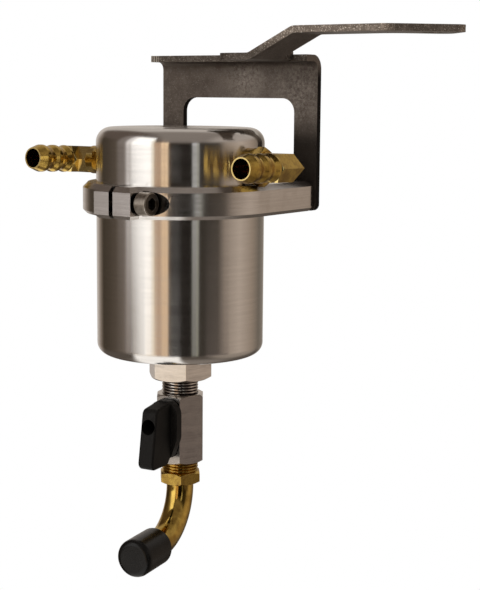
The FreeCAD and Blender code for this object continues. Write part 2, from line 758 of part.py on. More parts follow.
def make_valve_stem():
    round_start = -ball_pocket_radius
    half = stem_flat_width / 2
    tang = box(-half, half, round_start, stem_tang_start,
               ball_height - stem_flat_height / 2, ball_height + stem_flat_height / 2)
    stem = along_front(Part.makeCylinder(stem_radius, round_start - lever_start))
    stem = moved(stem, 0, round_start, ball_height)
    square = stem_square / 2
    neck = box(-square, square, stem_square_end, lever_start, ball_height - square, ball_height + square)
    body = tang.fuse(stem).fuse(neck)
    hole = along_front(Part.makeCylinder(lever_screw_radius, lever_screw_reach))
    return valve_turned(body.cut(moved(hole, 0, stem_square_end + lever_screw_reach, ball_height)))


def make_stem_seal():
    ring = along_front(Part.makeCylinder(gland_radius, seal_pocket_end - gland_start))
    bore = along_front(Part.makeCylinder(stem_radius + running_gap, seal_pocket_end - gland_start))
    return valve_turned(moved(ring.cut(bore), 0, seal_pocket_end, ball_height))


def make_stem_gland():
    length = gland_start + valve_flats / 2
    ring = along_front(Part.makeCylinder(gland_radius, length))
    bore = along_front(Part.makeCylinder(stem_radius + running_gap, length))
    return valve_turned(moved(ring.cut(bore), 0, gland_start, ball_height))


def lever_plate():
    # shield-shaped plate against the valve
    top = lever_plate_top
    outline = [
        (-lever_plate_half, top), (lever_plate_half, top), (lever_plate_half, lever_plate_shoulder),
        (lever_wing_half, lever_wing_bottom + lever_wing_round), (-lever_wing_half, lever_wing_bottom + lever_wing_round),
        (-lever_plate_half, lever_plate_shoulder), (-lever_plate_half, top),
    ]
    face = Part.Face(Part.makePolygon([Vector(x, lever_start, ball_height + z) for x, z in outline]))
    plate = face.extrude(Vector(0, -lever_plate_thickness, 0))
    corners = [e for e in plate.Edges if e.BoundBox.YLength > lever_plate_thickness - 0.01
               and e.BoundBox.ZMin > ball_height + lever_plate_shoulder - 0.01]
    return plate.makeFillet(lever_plate_round, corners)


def lever_wing():
    # flat wing whose back edge leaves the valve towards its end
    back = lever_start - lever_wing_set_in
    outline = [
        (back, lever_plate_top), (lever_start - lever_wing_reach_top, lever_plate_top - lever_wing_slope),
        (lever_start - lever_wing_reach_bottom, lever_wing_bottom),
        (lever_start - lever_wing_back_bottom, lever_wing_bottom),
        (back, lever_wing_bottom + lever_wing_heel), (back, lever_plate_top),
    ]
    points = [Vector(-lever_wing_half, y, ball_height + z) for y, z in outline]
    wing = Part.Face(Part.makePolygon(points)).extrude(Vector(2 * lever_wing_half, 0, 0))
    wing = fillet_where(wing, lever_wing_round, lambda e: e.BoundBox.XLength > lever_wing_half
                        and e.BoundBox.YMax < lever_start - lever_wing_back_bottom + 0.01)
    return fillet_where(wing, lever_edge_round, lambda e: e.BoundBox.XLength < 1e-6
                        and e.BoundBox.YMin < lever_start - lever_wing_reach_top + 0.5
                        and e.BoundBox.YMax < lever_start - lever_edge_start)


def make_lever():
    body = lever_plate().fuse(lever_wing()).removeSplitter()
    # square hole on the stem, and the recess for the screw
    half = stem_square / 2
    body = body.cut(box(-half, half, stem_square_end, lever_start, ball_height - half, ball_height + half))
    recess = along_front(Part.makeCylinder(lever_screw_head_radius + lever_recess_gap, lever_wing_reach_bottom))
    return valve_turned(body.cut(moved(recess, 0, stem_square_end, ball_height)))


def make_lever_screw():
    # pan head with a cross recess
    seat = stem_square_end
    end = seat - lever_screw_head_height
    head = along_front(Part.makeCylinder(lever_screw_head_radius, lever_screw_head_height))
    head = moved(head, 0, seat, ball_height)
    head = fillet_where(head, lever_screw_head_height / 3, lambda e: on_circle(e, lever_screw_head_radius)
                        and abs(e.BoundBox.YMin - end) < 1e-6)
    long_half = lever_screw_head_radius * 0.6
    short_half = lever_screw_head_radius * 0.12
    for across, along in ((long_half, short_half), (short_half, long_half)):
        head = head.cut(box(-across, across, end, end + lever_screw_head_height / 2,
                            ball_height - along, ball_height + along))
    shank = along_front(Part.makeCylinder(lever_screw_radius, lever_screw_reach))
    return valve_turned(head.fuse(moved(shank, 0, seat + lever_screw_reach, ball_height)))


def make_drain_tail():
    hexa = moved(chamfered_hexagon(tail_flats, tail_hex_top - tail_hex_low, tube_angle), 0, 0, tail_hex_low)
    body = hexa.fuse(cylinder(pipe_thread_radius, tail_hex_top, tail_thread_top))
    body = body.cut(cylinder(tail_bore, tail_hex_low, tail_thread_top))
    return body.cut(cylinder(tube_radius, tail_hex_low, tube_top))


def tube_path():
    bend_start = tube_axis_height + tube_bend_radius
    reach = tube_bend_radius * (1 - math.sqrt(0.5))
    edges = [
        Part.makeLine(Vector(0, 0, tube_top), Vector(0, 0, bend_start)),
        Part.Arc(Vector(0, 0, bend_start), Vector(0, -reach, tube_axis_height + reach),
                 Vector(0, -tube_bend_radius, tube_axis_height)).toShape(),
        Part.makeLine(Vector(0, -tube_bend_radius, tube_axis_height), Vector(0, -tube_end, tube_axis_height)),
    ]
    return Part.Wire(edges)


def make_drain_tube():
    path = tube_path()
    start = Vector(0, 0, tube_top)
    outer = path.makePipeShell([Part.Wire(Part.makeCircle(tube_radius, start))], True, False)
    inner = path.makePipeShell([Part.Wire(Part.makeCircle(tube_radius - tube_wall, start))], True, False)
    return turned_about_axis(outer.cut(inner), tube_angle)


def make_drain_cap():
    length = cap_end - cap_start
    outer = Part.makeCylinder(tube_radius + cap_wall, length)
    outer = fillet_where(outer, cap_dome, lambda e: at_height(e, length))
    outer = fillet_where(outer, cap_mouth_round, lambda e: at_height(e, 0))
    hollow = Part.makeCylinder(tube_radius + running_gap, tube_end - cap_start)
    body = along_front(outer.cut(hollow))
    return turned_about_axis(moved(body, 0, -cap_start, tube_axis_height), tube_angle)


parts = {
    "bracket": make_bracket(),
    "bracket_screws": make_bracket_screws(),
    "bracket_washers": make_bracket_washers(),
    "clamp_ring": make_clamp_ring(),
    "clamp_screw": make_clamp_screw(),
    "upper_housing": make_upper_housing(),
    "bowl": make_bowl(),
    "bowl_seal": make_bowl_seal(),
    "baffle_plate": make_baffle_plate(),
    "filter_pad": make_filter_pad(),
    "pad_retainer": make_pad_retainer(),
    "pad_screw": make_pad_screw(),
    "pad_nut": make_pad_nut(),
    "right_port_washer": port_washer(1),
    "left_port_washer": port_washer(-1),
    "right_port_nut": port_nut(1),
    "left_port_nut": port_nut(-1),
    "right_elbow": lifted(elbow(1, right_barb_x, right_elbow_start), right_elbow_angle),
    "left_elbow": lifted(elbow(-1, -left_barb_x, left_elbow_start), left_elbow_angle),
    "right_barb": lifted(make_barb(right_barb_x), right_elbow_angle),
    "left_barb": lifted(make_barb(left_barb_x), left_elbow_angle),
    "drain_bung": make_drain_bung(),
    "bung_seal": make_bung_seal(),
    "valve_body": make_valve_body(),
    "valve_seats": make_valve_seats(),
    "valve_insert": make_valve_insert(),
    "valve_ball": make_valve_ball(),
    "valve_stem": make_valve_stem(),
    "stem_seal": make_stem_seal(),
    "stem_gland": make_stem_gland(),
    "lever": make_lever(),
    "lever_screw": make_lever_screw(),
    "drain_tail": make_drain_tail(),
    "drain_tube": make_drain_tube(),
    "drain_cap": make_drain_cap(),
}

os.makedirs("parts", exist_ok=True)
origin = arm_hole_centre()
for name, shape in parts.items():
    shape = moved(shape, -origin.x, -origin.y, -origin.z)
    shape.exportStep("parts/" + name + ".step")
    print(name, shape.isValid(), len(shape.Solids), round(shape.Volume), shape.BoundBox)
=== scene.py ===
import math

import bmesh
import bpy
from mathutils import Matrix, Vector


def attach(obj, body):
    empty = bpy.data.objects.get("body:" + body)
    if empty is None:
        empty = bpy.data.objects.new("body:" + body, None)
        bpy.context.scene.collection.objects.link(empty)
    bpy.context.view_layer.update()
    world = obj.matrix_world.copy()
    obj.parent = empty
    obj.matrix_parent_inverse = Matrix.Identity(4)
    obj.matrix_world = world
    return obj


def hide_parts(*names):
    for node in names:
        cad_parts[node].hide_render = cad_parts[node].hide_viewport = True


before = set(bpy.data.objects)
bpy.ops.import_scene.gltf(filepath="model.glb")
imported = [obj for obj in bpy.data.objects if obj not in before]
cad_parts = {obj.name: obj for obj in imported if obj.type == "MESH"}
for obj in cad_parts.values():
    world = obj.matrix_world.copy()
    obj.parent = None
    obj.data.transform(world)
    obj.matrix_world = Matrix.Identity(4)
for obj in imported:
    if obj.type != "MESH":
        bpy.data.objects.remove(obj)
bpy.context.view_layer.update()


# ---------------------------------------------------------------- Camera
# The can hangs before the lens a little below eye level, seen from the front right of its bracket.
# Places are written in millimetres from the can's axis, 0 at the ring's underside.

def on_can(x, y, z):
    return Vector(((x - 111.23780) / 1000, (y - 26.28912) / 1000, (z - 80.6) / 1000))


lens_turn = math.radians(34.953)
lens_dip = math.radians(8.394)
lens_roll = math.radians(0.458)
towards_lens = Vector((math.sin(lens_turn), -math.cos(lens_turn), 0))
lens_right = Vector((math.cos(lens_turn), math.sin(lens_turn), 0))
upwards = Vector((0, 0, 1))
lens_forward = -towards_lens * math.cos(lens_dip) - upwards * math.sin(lens_dip)
lens_up = -towards_lens * math.sin(lens_dip) + upwards * math.cos(lens_dip)
lens_place = towards_lens * 621.848 + lens_right * 27.354 + upwards * 53.735
rolled_right = lens_right * math.cos(lens_roll) + lens_up * math.sin(lens_roll)
rolled_up = lens_up * math.cos(lens_roll) - lens_right * math.sin(lens_roll)

camera_data = bpy.data.cameras.new("studio_camera")
camera_data.sensor_width = 36.0
camera_data.lens = 1371.292 / 590 * 36.0
camera_data.clip_start = 0.02
camera_data.clip_end = 60.0
camera = bpy.data.objects.new("studio_camera", camera_data)
camera.matrix_world = Matrix.Translation(on_can(*lens_place)) @ Matrix(
    (rolled_right, rolled_up, -lens_forward)).transposed().to_4x4()
bpy.context.scene.collection.objects.link(camera)
bpy.context.scene.camera = camera
bpy.context.scene.view_settings.view_transform = "Standard"


# ---------------------------------------------------------------- Studio
# A tall softbox stands left of the camera, with a tan card beside it, a black flag round the lens and
# a warm grey wall on the right; the sweep below is pale. Polished metal shows these, the lens sees white.

def put(tree, kind, settings=None, sockets=None):
    made = tree.nodes.new(kind)
    for name, value in (settings or {}).items():
        setattr(made, name, value)
    for key, value in (sockets or {}).items():
        if isinstance(value, bpy.types.NodeSocket):
            tree.links.new(value, made.inputs[key])
        else:
            made.inputs[key].default_value = value
    return made


def calc(tree, operation, first, second=0.0, third=0.0):
    return put(tree, "ShaderNodeMath", {"operation": operation}, {0: first, 1: second, 2: third}).outputs[0]


def blended(tree, factor, first, second, mode="MIX"):
    made = put(tree, "ShaderNodeMix", {"data_type": "RGBA", "blend_type": mode})
    for slot_index, value in ((0, factor), (6, first), (7, second)):
        if isinstance(value, bpy.types.NodeSocket):
            tree.links.new(value, made.inputs[slot_index])
        else:
            made.inputs[slot_index].default_value = value
    return made.outputs[2]


def stepped(tree, value, low, high, out_low=0.0, out_high=1.0, kind="SMOOTHSTEP"):
    return put(tree, "ShaderNodeMapRange", {"interpolation_type": kind}, {
        "Value": value, "From Min": low, "From Max": high, "To Min": out_low, "To Max": out_high}).outputs[0]


def warm(level, red=1.0, green=0.9, blue=0.8):
    return (level * red, level * green, level * blue, 1.0)


world = bpy.data.worlds.new("studio")
bpy.context.scene.world = world
world.use_nodes = True
sky = world.node_tree
sky.nodes.clear()
aim = put(sky, "ShaderNodeTexCoord").outputs["Generated"]
aim = put(sky, "ShaderNodeVectorRotate", {"rotation_type": "Z_AXIS"}, {"Vector": aim, "Angle": -lens_turn}).outputs[0]
split_aim = put(sky, "ShaderNodeSeparateXYZ", None, {0: aim})
to_right, height_of_aim = split_aim.outputs[0], split_aim.outputs[2]
to_lens = calc(sky, "MULTIPLY", split_aim.outputs[1], -1.0)
turn_of_aim = calc(sky, "MULTIPLY", calc(sky, "ARCTAN2", to_right, to_lens), 180 / math.pi)

# the walls of the room, from behind left, past the lens in the middle, to behind right, in degrees
room_walls = (
    (-180, warm(0.54)), (-156, warm(0.56, green=0.9, blue=0.82)), (-140, warm(0.24, green=0.8, blue=0.64)),
    (-129, warm(0.056, green=0.76, blue=0.52)), (-112, warm(0.070, green=0.76, blue=0.55)),
    (-88, warm(0.115, green=0.78, blue=0.6)), (-76, warm(0.20, green=0.8, blue=0.66)), (-10, warm(0.04, green=0.7, blue=0.5)),
    (40, warm(0.038, green=0.84, blue=0.66)), (55, warm(0.060, green=0.82, blue=0.64)), (66, warm(0.33, green=0.81, blue=0.66)),
    (91, warm(0.50, green=0.83, blue=0.69)), (118, warm(0.33, green=0.79, blue=0.62)), (140, warm(0.17, green=0.84, blue=0.68)),
    (160, warm(0.24, green=0.86, blue=0.72)), (180, warm(0.54)),
)
wall_ramp = put(sky, "ShaderNodeValToRGB", None, {0: calc(sky, "MULTIPLY_ADD", turn_of_aim, 1 / 360, 0.5)})
stops = wall_ramp.color_ramp.elements
stops[0].position, stops[0].color = 0.0, room_walls[0][1]
stops[1].position, stops[1].color = 1.0, room_walls[-1][1]
for turn, colour in room_walls[1:-1]:
    stop = stops.new(turn / 360 + 0.5)
    stop.color = colour


def between(value, low, high, soft):
    """1 between two limits, each a number or a socket, and 0 past them, over a soft edge"""
    inside = calc(sky, "SUBTRACT", value, low)
    short_of = calc(sky, "SUBTRACT", high, value)
    return stepped(sky, calc(sky, "MINIMUM", inside, short_of), -soft / 2, soft / 2)


# the upper room is pale behind the can, dark on the left and grey over the lens
upper_room = blended(sky, stepped(sky, to_lens, -0.55, -0.15), warm(0.54, green=0.91, blue=0.83), warm(0.24, green=0.86, blue=0.76))
upper_room = blended(sky, stepped(sky, to_right, -0.26, -0.46), upper_room, warm(0.11, green=0.76, blue=0.62))
upper_room = blended(sky, stepped(sky, to_right, 0.5, 0.8), upper_room, warm(0.42, green=0.88, blue=0.79))
studio = blended(sky, between(height_of_aim, 0.30, 2.0, 0.2), wall_ramp.outputs[0], upper_room)
# the lower room is dark under the lens and grey beneath the can; a white card lies on the left
lower_room = blended(sky, stepped(sky, height_of_aim, -0.70, -0.95), warm(0.10, green=0.82, blue=0.68), warm(0.24, green=0.86, blue=0.75))
lower_room = blended(sky, stepped(sky, to_right, 0.5, 0.8), lower_room, warm(0.33, green=0.84, blue=0.70))
studio = blended(sky, between(height_of_aim, -2.0, -0.34, 0.16), studio, lower_room)
laid_card = calc(sky, "MULTIPLY", between(calc(sky, "MULTIPLY_ADD", to_lens, 0.6, to_right), -0.62, 2.0, 0.14), between(to_right, -2.0, 0.03, 0.1))
studio = blended(sky, calc(sky, "MULTIPLY", between(height_of_aim, -2.0, -0.38, 0.12), laid_card), studio, warm(1.15, green=0.97, blue=0.93))

# upright cards round the lens: each from, to and edge in degrees, its lowest and highest aim, and its colour
softbox_left = stepped(sky, height_of_aim, -0.17, -0.10, -47.0, -60.5, "LINEAR")
cards = (
    ("pale wing", -78, -60, 8, -0.088, 0.72, warm(1.05, green=0.95, blue=0.93)),
    ("pale wing's far side", -92, -76, 9, -0.082, 0.72, warm(0.24, green=0.86, blue=0.78)),
    ("softbox rim", calc(sky, "SUBTRACT", softbox_left, 9.0), -38, 9, -0.36, 0.72, warm(0.52, green=0.92, blue=0.86)),
    ("softbox", softbox_left, -36.5, 4, -0.36, 0.72, warm(1.24, green=0.975, blue=0.945)),
    ("softbox's wide top", -67.5, -36.5, 6, -0.080, 0.72, warm(1.5, green=0.985, blue=0.965)),
    ("softbox edge", -36.5, -32.8, 1.8, -0.36, 0.5, warm(1.05, green=0.90, blue=0.74)),
    ("tan card", -33.2, -13.4, 2.2, -0.36, 0.30, warm(0.53, green=0.67, blue=0.44)),
    ("tan card's lit fold", -22.4, -13.8, 1.8, -0.36, 0.30, warm(0.68, green=0.67, blue=0.40)),
    ("tan card's bright top", -23.4, -13.0, 1.8, -0.078, 0.30, warm(1.10, green=0.74, blue=0.48)),
    ("tan card's dark fold", -19.4, -18.4, 0.9, -0.36, 0.30, warm(0.70, green=0.68, blue=0.42)),
    ("brown cloth", -13.6, -7.0, 2.6, -0.36, 0.12, warm(0.045, green=0.66, blue=0.45)),
    ("black flag", -9.0, 18.0, 3.0, -0.36, 0.12, warm(0.008, green=0.8, blue=0.65)),
    ("slit of light", 18.2, 27.0, 1.4, -0.36, 0.25, warm(0.16, green=0.96, blue=0.78)),
    ("slit's bright top", 18.2, 27.6, 1.4, -0.082, 0.25, warm(0.62, green=1.0, blue=1.0)),
    ("slit's lit edge", 25.0, 26.6, 1.0, -0.36, 0.25, warm(0.36, green=0.98, blue=0.74)),
    ("tan card's foot", -46, -30, 4, -0.36, -0.203, warm(1.02, green=0.83, blue=0.64)),
    ("low reflector", -66, -44, 5, -0.40, -0.277, warm(1.10, green=0.93, blue=0.84)),
    ("dark cupboard", 38, 73, 6, -0.36, -0.205, warm(0.15, green=0.81, blue=0.73)),
)
for label, left, right, soft, lowest, highest, colour in cards:
    card = calc(sky, "MULTIPLY", between(turn_of_aim, left, right, soft), between(height_of_aim, lowest, highest, 0.03))
    card = blended(sky, card, studio, colour)
    card.node.label = label
    studio = card

light_path = put(sky, "ShaderNodeLightPath")
seen = put(sky, "ShaderNodeBackground", None, {"Color": (1, 1, 1, 1), "Strength": 1.0})
mirrored = put(sky, "ShaderNodeBackground", None, {"Color": studio, "Strength": 1.0})
soft = put(sky, "ShaderNodeBackground", None, {"Color": (1.0, 0.97, 0.93, 1), "Strength": 0.55})
lit = put(sky, "ShaderNodeMixShader", None, {0: light_path.outputs["Is Glossy Ray"], 1: soft.outputs[0], 2: mirrored.outputs[0]})
clear = calc(sky, "MAXIMUM", light_path.outputs["Is Camera Ray"], light_path.outputs["Is Transmission Ray"])
lit = put(sky, "ShaderNodeMixShader", None, {0: clear, 1: lit.outputs[0], 2: seen.outputs[0]})
put(sky, "ShaderNodeOutputWorld", None, {"Surface": lit.outputs[0]})


def softbox(name, turn, height, distance, size, power, colour):
    lamp = bpy.data.lights.new(name, "AREA")
    lamp.shape = "DISK"
    lamp.size = size
    lamp.energy = power
    lamp.color = colour
    stand = bpy.data.objects.new(name, lamp)
    centre = on_can(0, 0, -20)
    aim_out = (towards_lens * math.cos(math.radians(turn)) + lens_right * math.sin(math.radians(turn)))
    aim_out = aim_out * math.cos(math.radians(height)) + upwards * math.sin(math.radians(height))
    stand.location = centre + aim_out * distance
    stand.rotation_euler = aim_out.to_track_quat("Z", "Y").to_euler()
    stand.visible_glossy = False
    bpy.context.scene.collection.objects.link(stand)


softbox("key_softbox", -52, 34, 1.3, 0.7, 8.0, (1.0, 0.97, 0.93))
softbox("right_fill", 85, 15, 1.4, 0.8, 3.0, (1.0, 0.93, 0.86))

floor_mesh = bpy.data.meshes.new("studio_floor")
floor_level = on_can(0, 0, -300).z
floor_mesh.from_pydata([(-9, -9, floor_level), (9, -9, floor_level), (9, 9, floor_level), (-9, 9, floor_level)],
                       [], [(0, 1, 2, 3)])
floor = bpy.data.objects.new("studio_floor", floor_mesh)
bpy.context.scene.collection.objects.link(floor)
floor.visible_glossy = False
paper = bpy.data.materials.new("pale_paper")
paper.use_nodes = True
paper_tree = paper.node_tree
paper_tree.nodes.clear()
paper_fibre = put(paper_tree, "ShaderNodeTexNoise", None, {"Scale": 60.0, "Detail": 3.0})
paper_tone = stepped(paper_tree, paper_fibre.outputs[0], 0.3, 0.7, 0.86, 0.9, "LINEAR")
paper_skin = put(paper_tree, "ShaderNodeBsdfDiffuse", None, {"Color": paper_tone})
paper_glow = put(paper_tree, "ShaderNodeEmission", None, {"Color": (1, 1, 1, 1), "Strength": 1.0})
paper_path = put(paper_tree, "ShaderNodeLightPath")
paper_reach = put(paper_tree, "ShaderNodeVectorMath", {"operation": "LENGTH"}, {
    0: put(paper_tree, "ShaderNodeTexCoord").outputs["Object"]}).outputs["Value"]
paper_mix = put(paper_tree, "ShaderNodeMixShader", None, {
    0: calc(paper_tree, "MULTIPLY", paper_path.outputs["Is Camera Ray"], stepped(paper_tree, paper_reach, 0.3, 0.5, 0.92, 1.0)),
    1: paper_skin.outputs[0], 2: paper_glow.outputs[0]})
put(paper_tree, "ShaderNodeOutputMaterial", None, {"Surface": paper_mix.outputs[0]})
floor_mesh.materials.append(paper)


# ---------------------------------------------------------------- Upper housing
# The upper half of the can is turned from aluminium bar and polished. Its roof rolls over into the wall,
# a port is drilled and tapped through each side, and the bowl's spigot slides in from below.

def rounded(corners, closed=True, step=9.0):
    """(radius, height, round) corners in mm, each corner with its own round, as a line of points"""
    points = []
    count = len(corners)
    for k, (r, z, fillet) in enumerate(corners):
        here = Vector((r, z))
        if fillet <= 0 or (not closed and k in (0, count - 1)):
            points.append(here)
            continue
        before = (Vector(corners[k - 1][:2]) - here).normalized()
        after = (Vector(corners[(k + 1) % count][:2]) - here).normalized()
        half = before.angle(after) / 2
        reach = fillet / math.tan(half)
        middle = here + (before + after).normalized() * (fillet / math.sin(half))
        start = here + before * reach - middle
        finish = here + after * reach - middle
        sweep_angle = start.angle_signed(finish)
        parts = max(2, round(abs(math.degrees(sweep_angle)) / step))
        for i in range(parts + 1):
            turned_by = -sweep_angle * i / parts
            points.append(middle + Vector((start.x * math.cos(turned_by) - start.y * math.sin(turned_by),
                                           start.x * math.sin(turned_by) + start.y * math.cos(turned_by))))
    if closed:
        points.append(points[0].copy())
    supported = [points[0]]
    for a, b in zip(points, points[1:]):
        run = (b - a).length
        if run > 1.6:
            supported += [a.lerp(b, 0.35 / run), b.lerp(a, 0.35 / run)]
        supported.append(b)
    return supported


def lathe_tree():
    # a grid takes its rows from the profile's points and its columns from the steps round the axis
    tree = bpy.data.node_groups.new("lathe", "GeometryNodeTree")
    for name, kind in (("Profile", "NodeSocketGeometry"), ("Steps round", "NodeSocketInt"), ("Finish", "NodeSocketMaterial")):
        tree.interface.new_socket(name, in_out="INPUT", socket_type=kind)
    tree.interface.new_socket("Turned", in_out="OUTPUT", socket_type="NodeSocketGeometry")
    given = put(tree, "NodeGroupInput")
    count = put(tree, "GeometryNodeAttributeDomainSize", {"component": "MESH"}, {0: given.outputs["Profile"]})
    columns = put(tree, "ShaderNodeMath", {"operation": "ADD"}, {0: given.outputs["Steps round"], 1: 1.0}).outputs[0]
    grid = put(tree, "GeometryNodeMeshGrid", None, {"Vertices X": count.outputs["Point Count"], "Vertices Y": columns})
    index = put(tree, "GeometryNodeInputIndex").outputs[0]
    row = calc(tree, "FLOOR", calc(tree, "DIVIDE", calc(tree, "ADD", index, 0.5), columns))
    column = calc(tree, "SUBTRACT", index, calc(tree, "MULTIPLY", row, columns))
    turn = calc(tree, "MULTIPLY", calc(tree, "DIVIDE", column, given.outputs["Steps round"]), 2 * math.pi)
    place = put(tree, "GeometryNodeInputPosition").outputs[0]
    taken = put(tree, "GeometryNodeSampleIndex", {"data_type": "FLOAT_VECTOR", "domain": "POINT"}, {
        "Geometry": given.outputs["Profile"], "Value": place, "Index": row})
    point = put(tree, "ShaderNodeSeparateXYZ", None, {0: taken.outputs[0]})
    spot = put(tree, "ShaderNodeCombineXYZ", None, {
        0: calc(tree, "MULTIPLY", point.outputs[0], calc(tree, "COSINE", turn)),
        1: calc(tree, "MULTIPLY", point.outputs[0], calc(tree, "SINE", turn)), 2: point.outputs[2]})
    spun = put(tree, "GeometryNodeSetPosition", None, {"Geometry": grid.outputs["Mesh"], "Position": spot.outputs[0]})
    closed = put(tree, "GeometryNodeMergeByDistance", None, {"Geometry": spun.outputs[0], "Distance": 2e-6})
    real = put(tree, "GeometryNodeRealizeInstances", None, {0: closed.outputs[0]})
    finished = put(tree, "GeometryNodeSetMaterial", None, {"Geometry": real.outputs[0], "Material": given.outputs["Finish"]})
    put(tree, "NodeGroupOutput", None, {0: finished.outputs[0]})
    return tree


def settle(worker, name, sharp=32.0):
    """the worked-out shape of an object as a plain mesh at the origin, its faces pointing out"""
    bpy.context.view_layer.update()
    shape = bpy.data.meshes.new_from_object(worker.evaluated_get(bpy.context.evaluated_depsgraph_get()))
    bpy.data.objects.remove(worker)
    tidy = bmesh.new()
    tidy.from_mesh(shape)
    bmesh.ops.remove_doubles(tidy, verts=tidy.verts, dist=1.5e-6)
    bmesh.ops.dissolve_degenerate(tidy, edges=tidy.edges, dist=1e-6)
    bmesh.ops.recalc_face_normals(tidy, faces=tidy.faces)
    tidy.to_mesh(shape)
    tidy.free()
    shape.name = name
    shape.shade_smooth()
    shape.set_sharp_from_angle(angle=math.radians(sharp))
    made = bpy.data.objects.new(name, shape)
    bpy.context.scene.collection.objects.link(made)
    return made


def worked(name, shape, tree, sizes):
    """an object whose shape a node tree makes from named sizes"""
    worker = bpy.data.objects.new(name + "_worker", shape)
    bpy.context.scene.collection.objects.link(worker)
    change = worker.modifiers.new("work", "NODES")
    change.node_group = tree
    for item in tree.interface.items_tree:
        if item.item_type == "SOCKET" and item.in_out == "INPUT" and item.name in sizes:
            change[item.identifier] = sizes[item.name]
    return settle(worker, name)


def turn(name, corners, finish, steps=160, closed=True, place=None, step=9.0):
    """a turned piece: corners in mm from the can's axis, or from an axis of its own laid by place"""
    profile = bpy.data.meshes.new(name + "_profile")
    profile.from_pydata([(p.x / 1000, 0, p.y / 1000) for p in rounded(corners, closed, step)], [], [])
    made = worked(name, profile, lathe, {"Steps round": steps, "Finish": finish})
    made.data.transform(place or Matrix.Translation(on_can(0, 0, 0)))
    return made


def surface(name):
    made = bpy.data.materials.new(name)
    made.use_nodes = True
    tree = made.node_tree
    tree.nodes.clear()
    coat = tree.nodes.new("ShaderNodeBsdfPrincipled")
    put(tree, "ShaderNodeOutputMaterial", None, {"Surface": coat.outputs[0]})
    return made, tree, coat


def group(name, inputs, outputs):
    tree = bpy.data.node_groups.new(name, "ShaderNodeTree")
    for label, kind, value in inputs:
        made = tree.interface.new_socket(label, in_out="INPUT", socket_type=kind)
        if value is not None:
            made.default_value = value
    for label, kind in outputs:
        tree.interface.new_socket(label, in_out="OUTPUT", socket_type=kind)
    return tree, put(tree, "NodeGroupInput"), put(tree, "NodeGroupOutput")


def placed(tree, shared, sockets):
    made = put(tree, "ShaderNodeGroup", {"node_tree": shared})
    for key, value in sockets.items():
        if isinstance(value, bpy.types.NodeSocket):
            tree.links.new(value, made.inputs[key])
        else:
            made.inputs[key].default_value = value
    return made


lathe = lathe_tree()

# marks that a lathe tool or a polishing wheel leaves: fine rings, each fading in and out round the piece
rings, rings_in, rings_out = group("turning_marks", (
    ("Axis place", "NodeSocketVector", (0, 0, 0)), ("Ring width", "NodeSocketFloat", 0.0004), ("Fade", "NodeSocketFloat", 3.0)),
    (("Tone", "NodeSocketFloat"), ("Height", "NodeSocketFloat")))
ring_place = put(rings, "ShaderNodeVectorMath", {"operation": "SUBTRACT"}, {
    0: put(rings, "ShaderNodeTexCoord").outputs["Object"], 1: rings_in.outputs[0]}).outputs[0]
ring_parts = put(rings, "ShaderNodeSeparateXYZ", None, {0: ring_place})
ring_turn = calc(rings, "ARCTAN2", ring_parts.outputs[1], ring_parts.outputs[0])
ring_radius = calc(rings, "SQRT", calc(rings, "ADD", calc(rings, "MULTIPLY", ring_parts.outputs[0], ring_parts.outputs[0]),
                                       calc(rings, "MULTIPLY", ring_parts.outputs[1], ring_parts.outputs[1])))
ring_step = calc(rings, "DIVIDE", 1.0, rings_in.outputs[1])
ring_along = put(rings, "ShaderNodeCombineXYZ", None, {
    0: calc(rings, "MULTIPLY", calc(rings, "SINE", ring_turn), rings_in.outputs[2]),
    1: calc(rings, "MULTIPLY", calc(rings, "COSINE", ring_turn), rings_in.outputs[2]),
    2: calc(rings, "MULTIPLY", calc(rings, "ADD", ring_parts.outputs[2], ring_radius), ring_step)}).outputs[0]
ring_coarse = put(rings, "ShaderNodeTexNoise", None, {"Vector": ring_along, "Scale": 0.35, "Detail": 2.0})
ring_fine = put(rings, "ShaderNodeTexNoise", None, {"Vector": ring_along, "Scale": 1.7, "Detail": 2.0})
ring_sum = calc(rings, "ADD", calc(rings, "MULTIPLY", ring_coarse.outputs[0], 0.6), calc(rings, "MULTIPLY", ring_fine.outputs[0], 0.4))
rings.links.new(stepped(rings, ring_sum, 0.35, 0.65, kind="LINEAR"), rings_out.inputs[0])
rings.links.new(ring_fine.outputs[0], rings_out.inputs[1])

# slow unevenness of a handled or aged surface
blotches, blotch_in, blotch_out = group("blotches", (
    ("Size", "NodeSocketFloat", 0.004), ("Low", "NodeSocketFloat", 0.4), ("High", "NodeSocketFloat", 0.65)),
    (("Mask", "NodeSocketFloat"), ("Grain", "NodeSocketFloat")))
blotch_noise = put(blotches, "ShaderNodeTexNoise", None, {
    "Vector": put(blotches, "ShaderNodeTexCoord").outputs["Object"],
    "Scale": calc(blotches, "DIVIDE", 1.0, blotch_in.outputs[0]), "Detail": 4.0, "Roughness": 0.6})
blotch_grain = put(blotches, "ShaderNodeTexNoise", None, {
    "Vector": put(blotches, "ShaderNodeTexCoord").outputs["Object"],
    "Scale": calc(blotches, "DIVIDE", 9.0, blotch_in.outputs[0]), "Detail": 3.0, "Roughness": 0.7})
blotches.links.new(stepped(blotches, blotch_noise.outputs[0], blotch_in.outputs[1], blotch_in.outputs[2]), blotch_out.inputs[0])
blotches.links.new(blotch_grain.outputs[0], blotch_out.inputs[1])

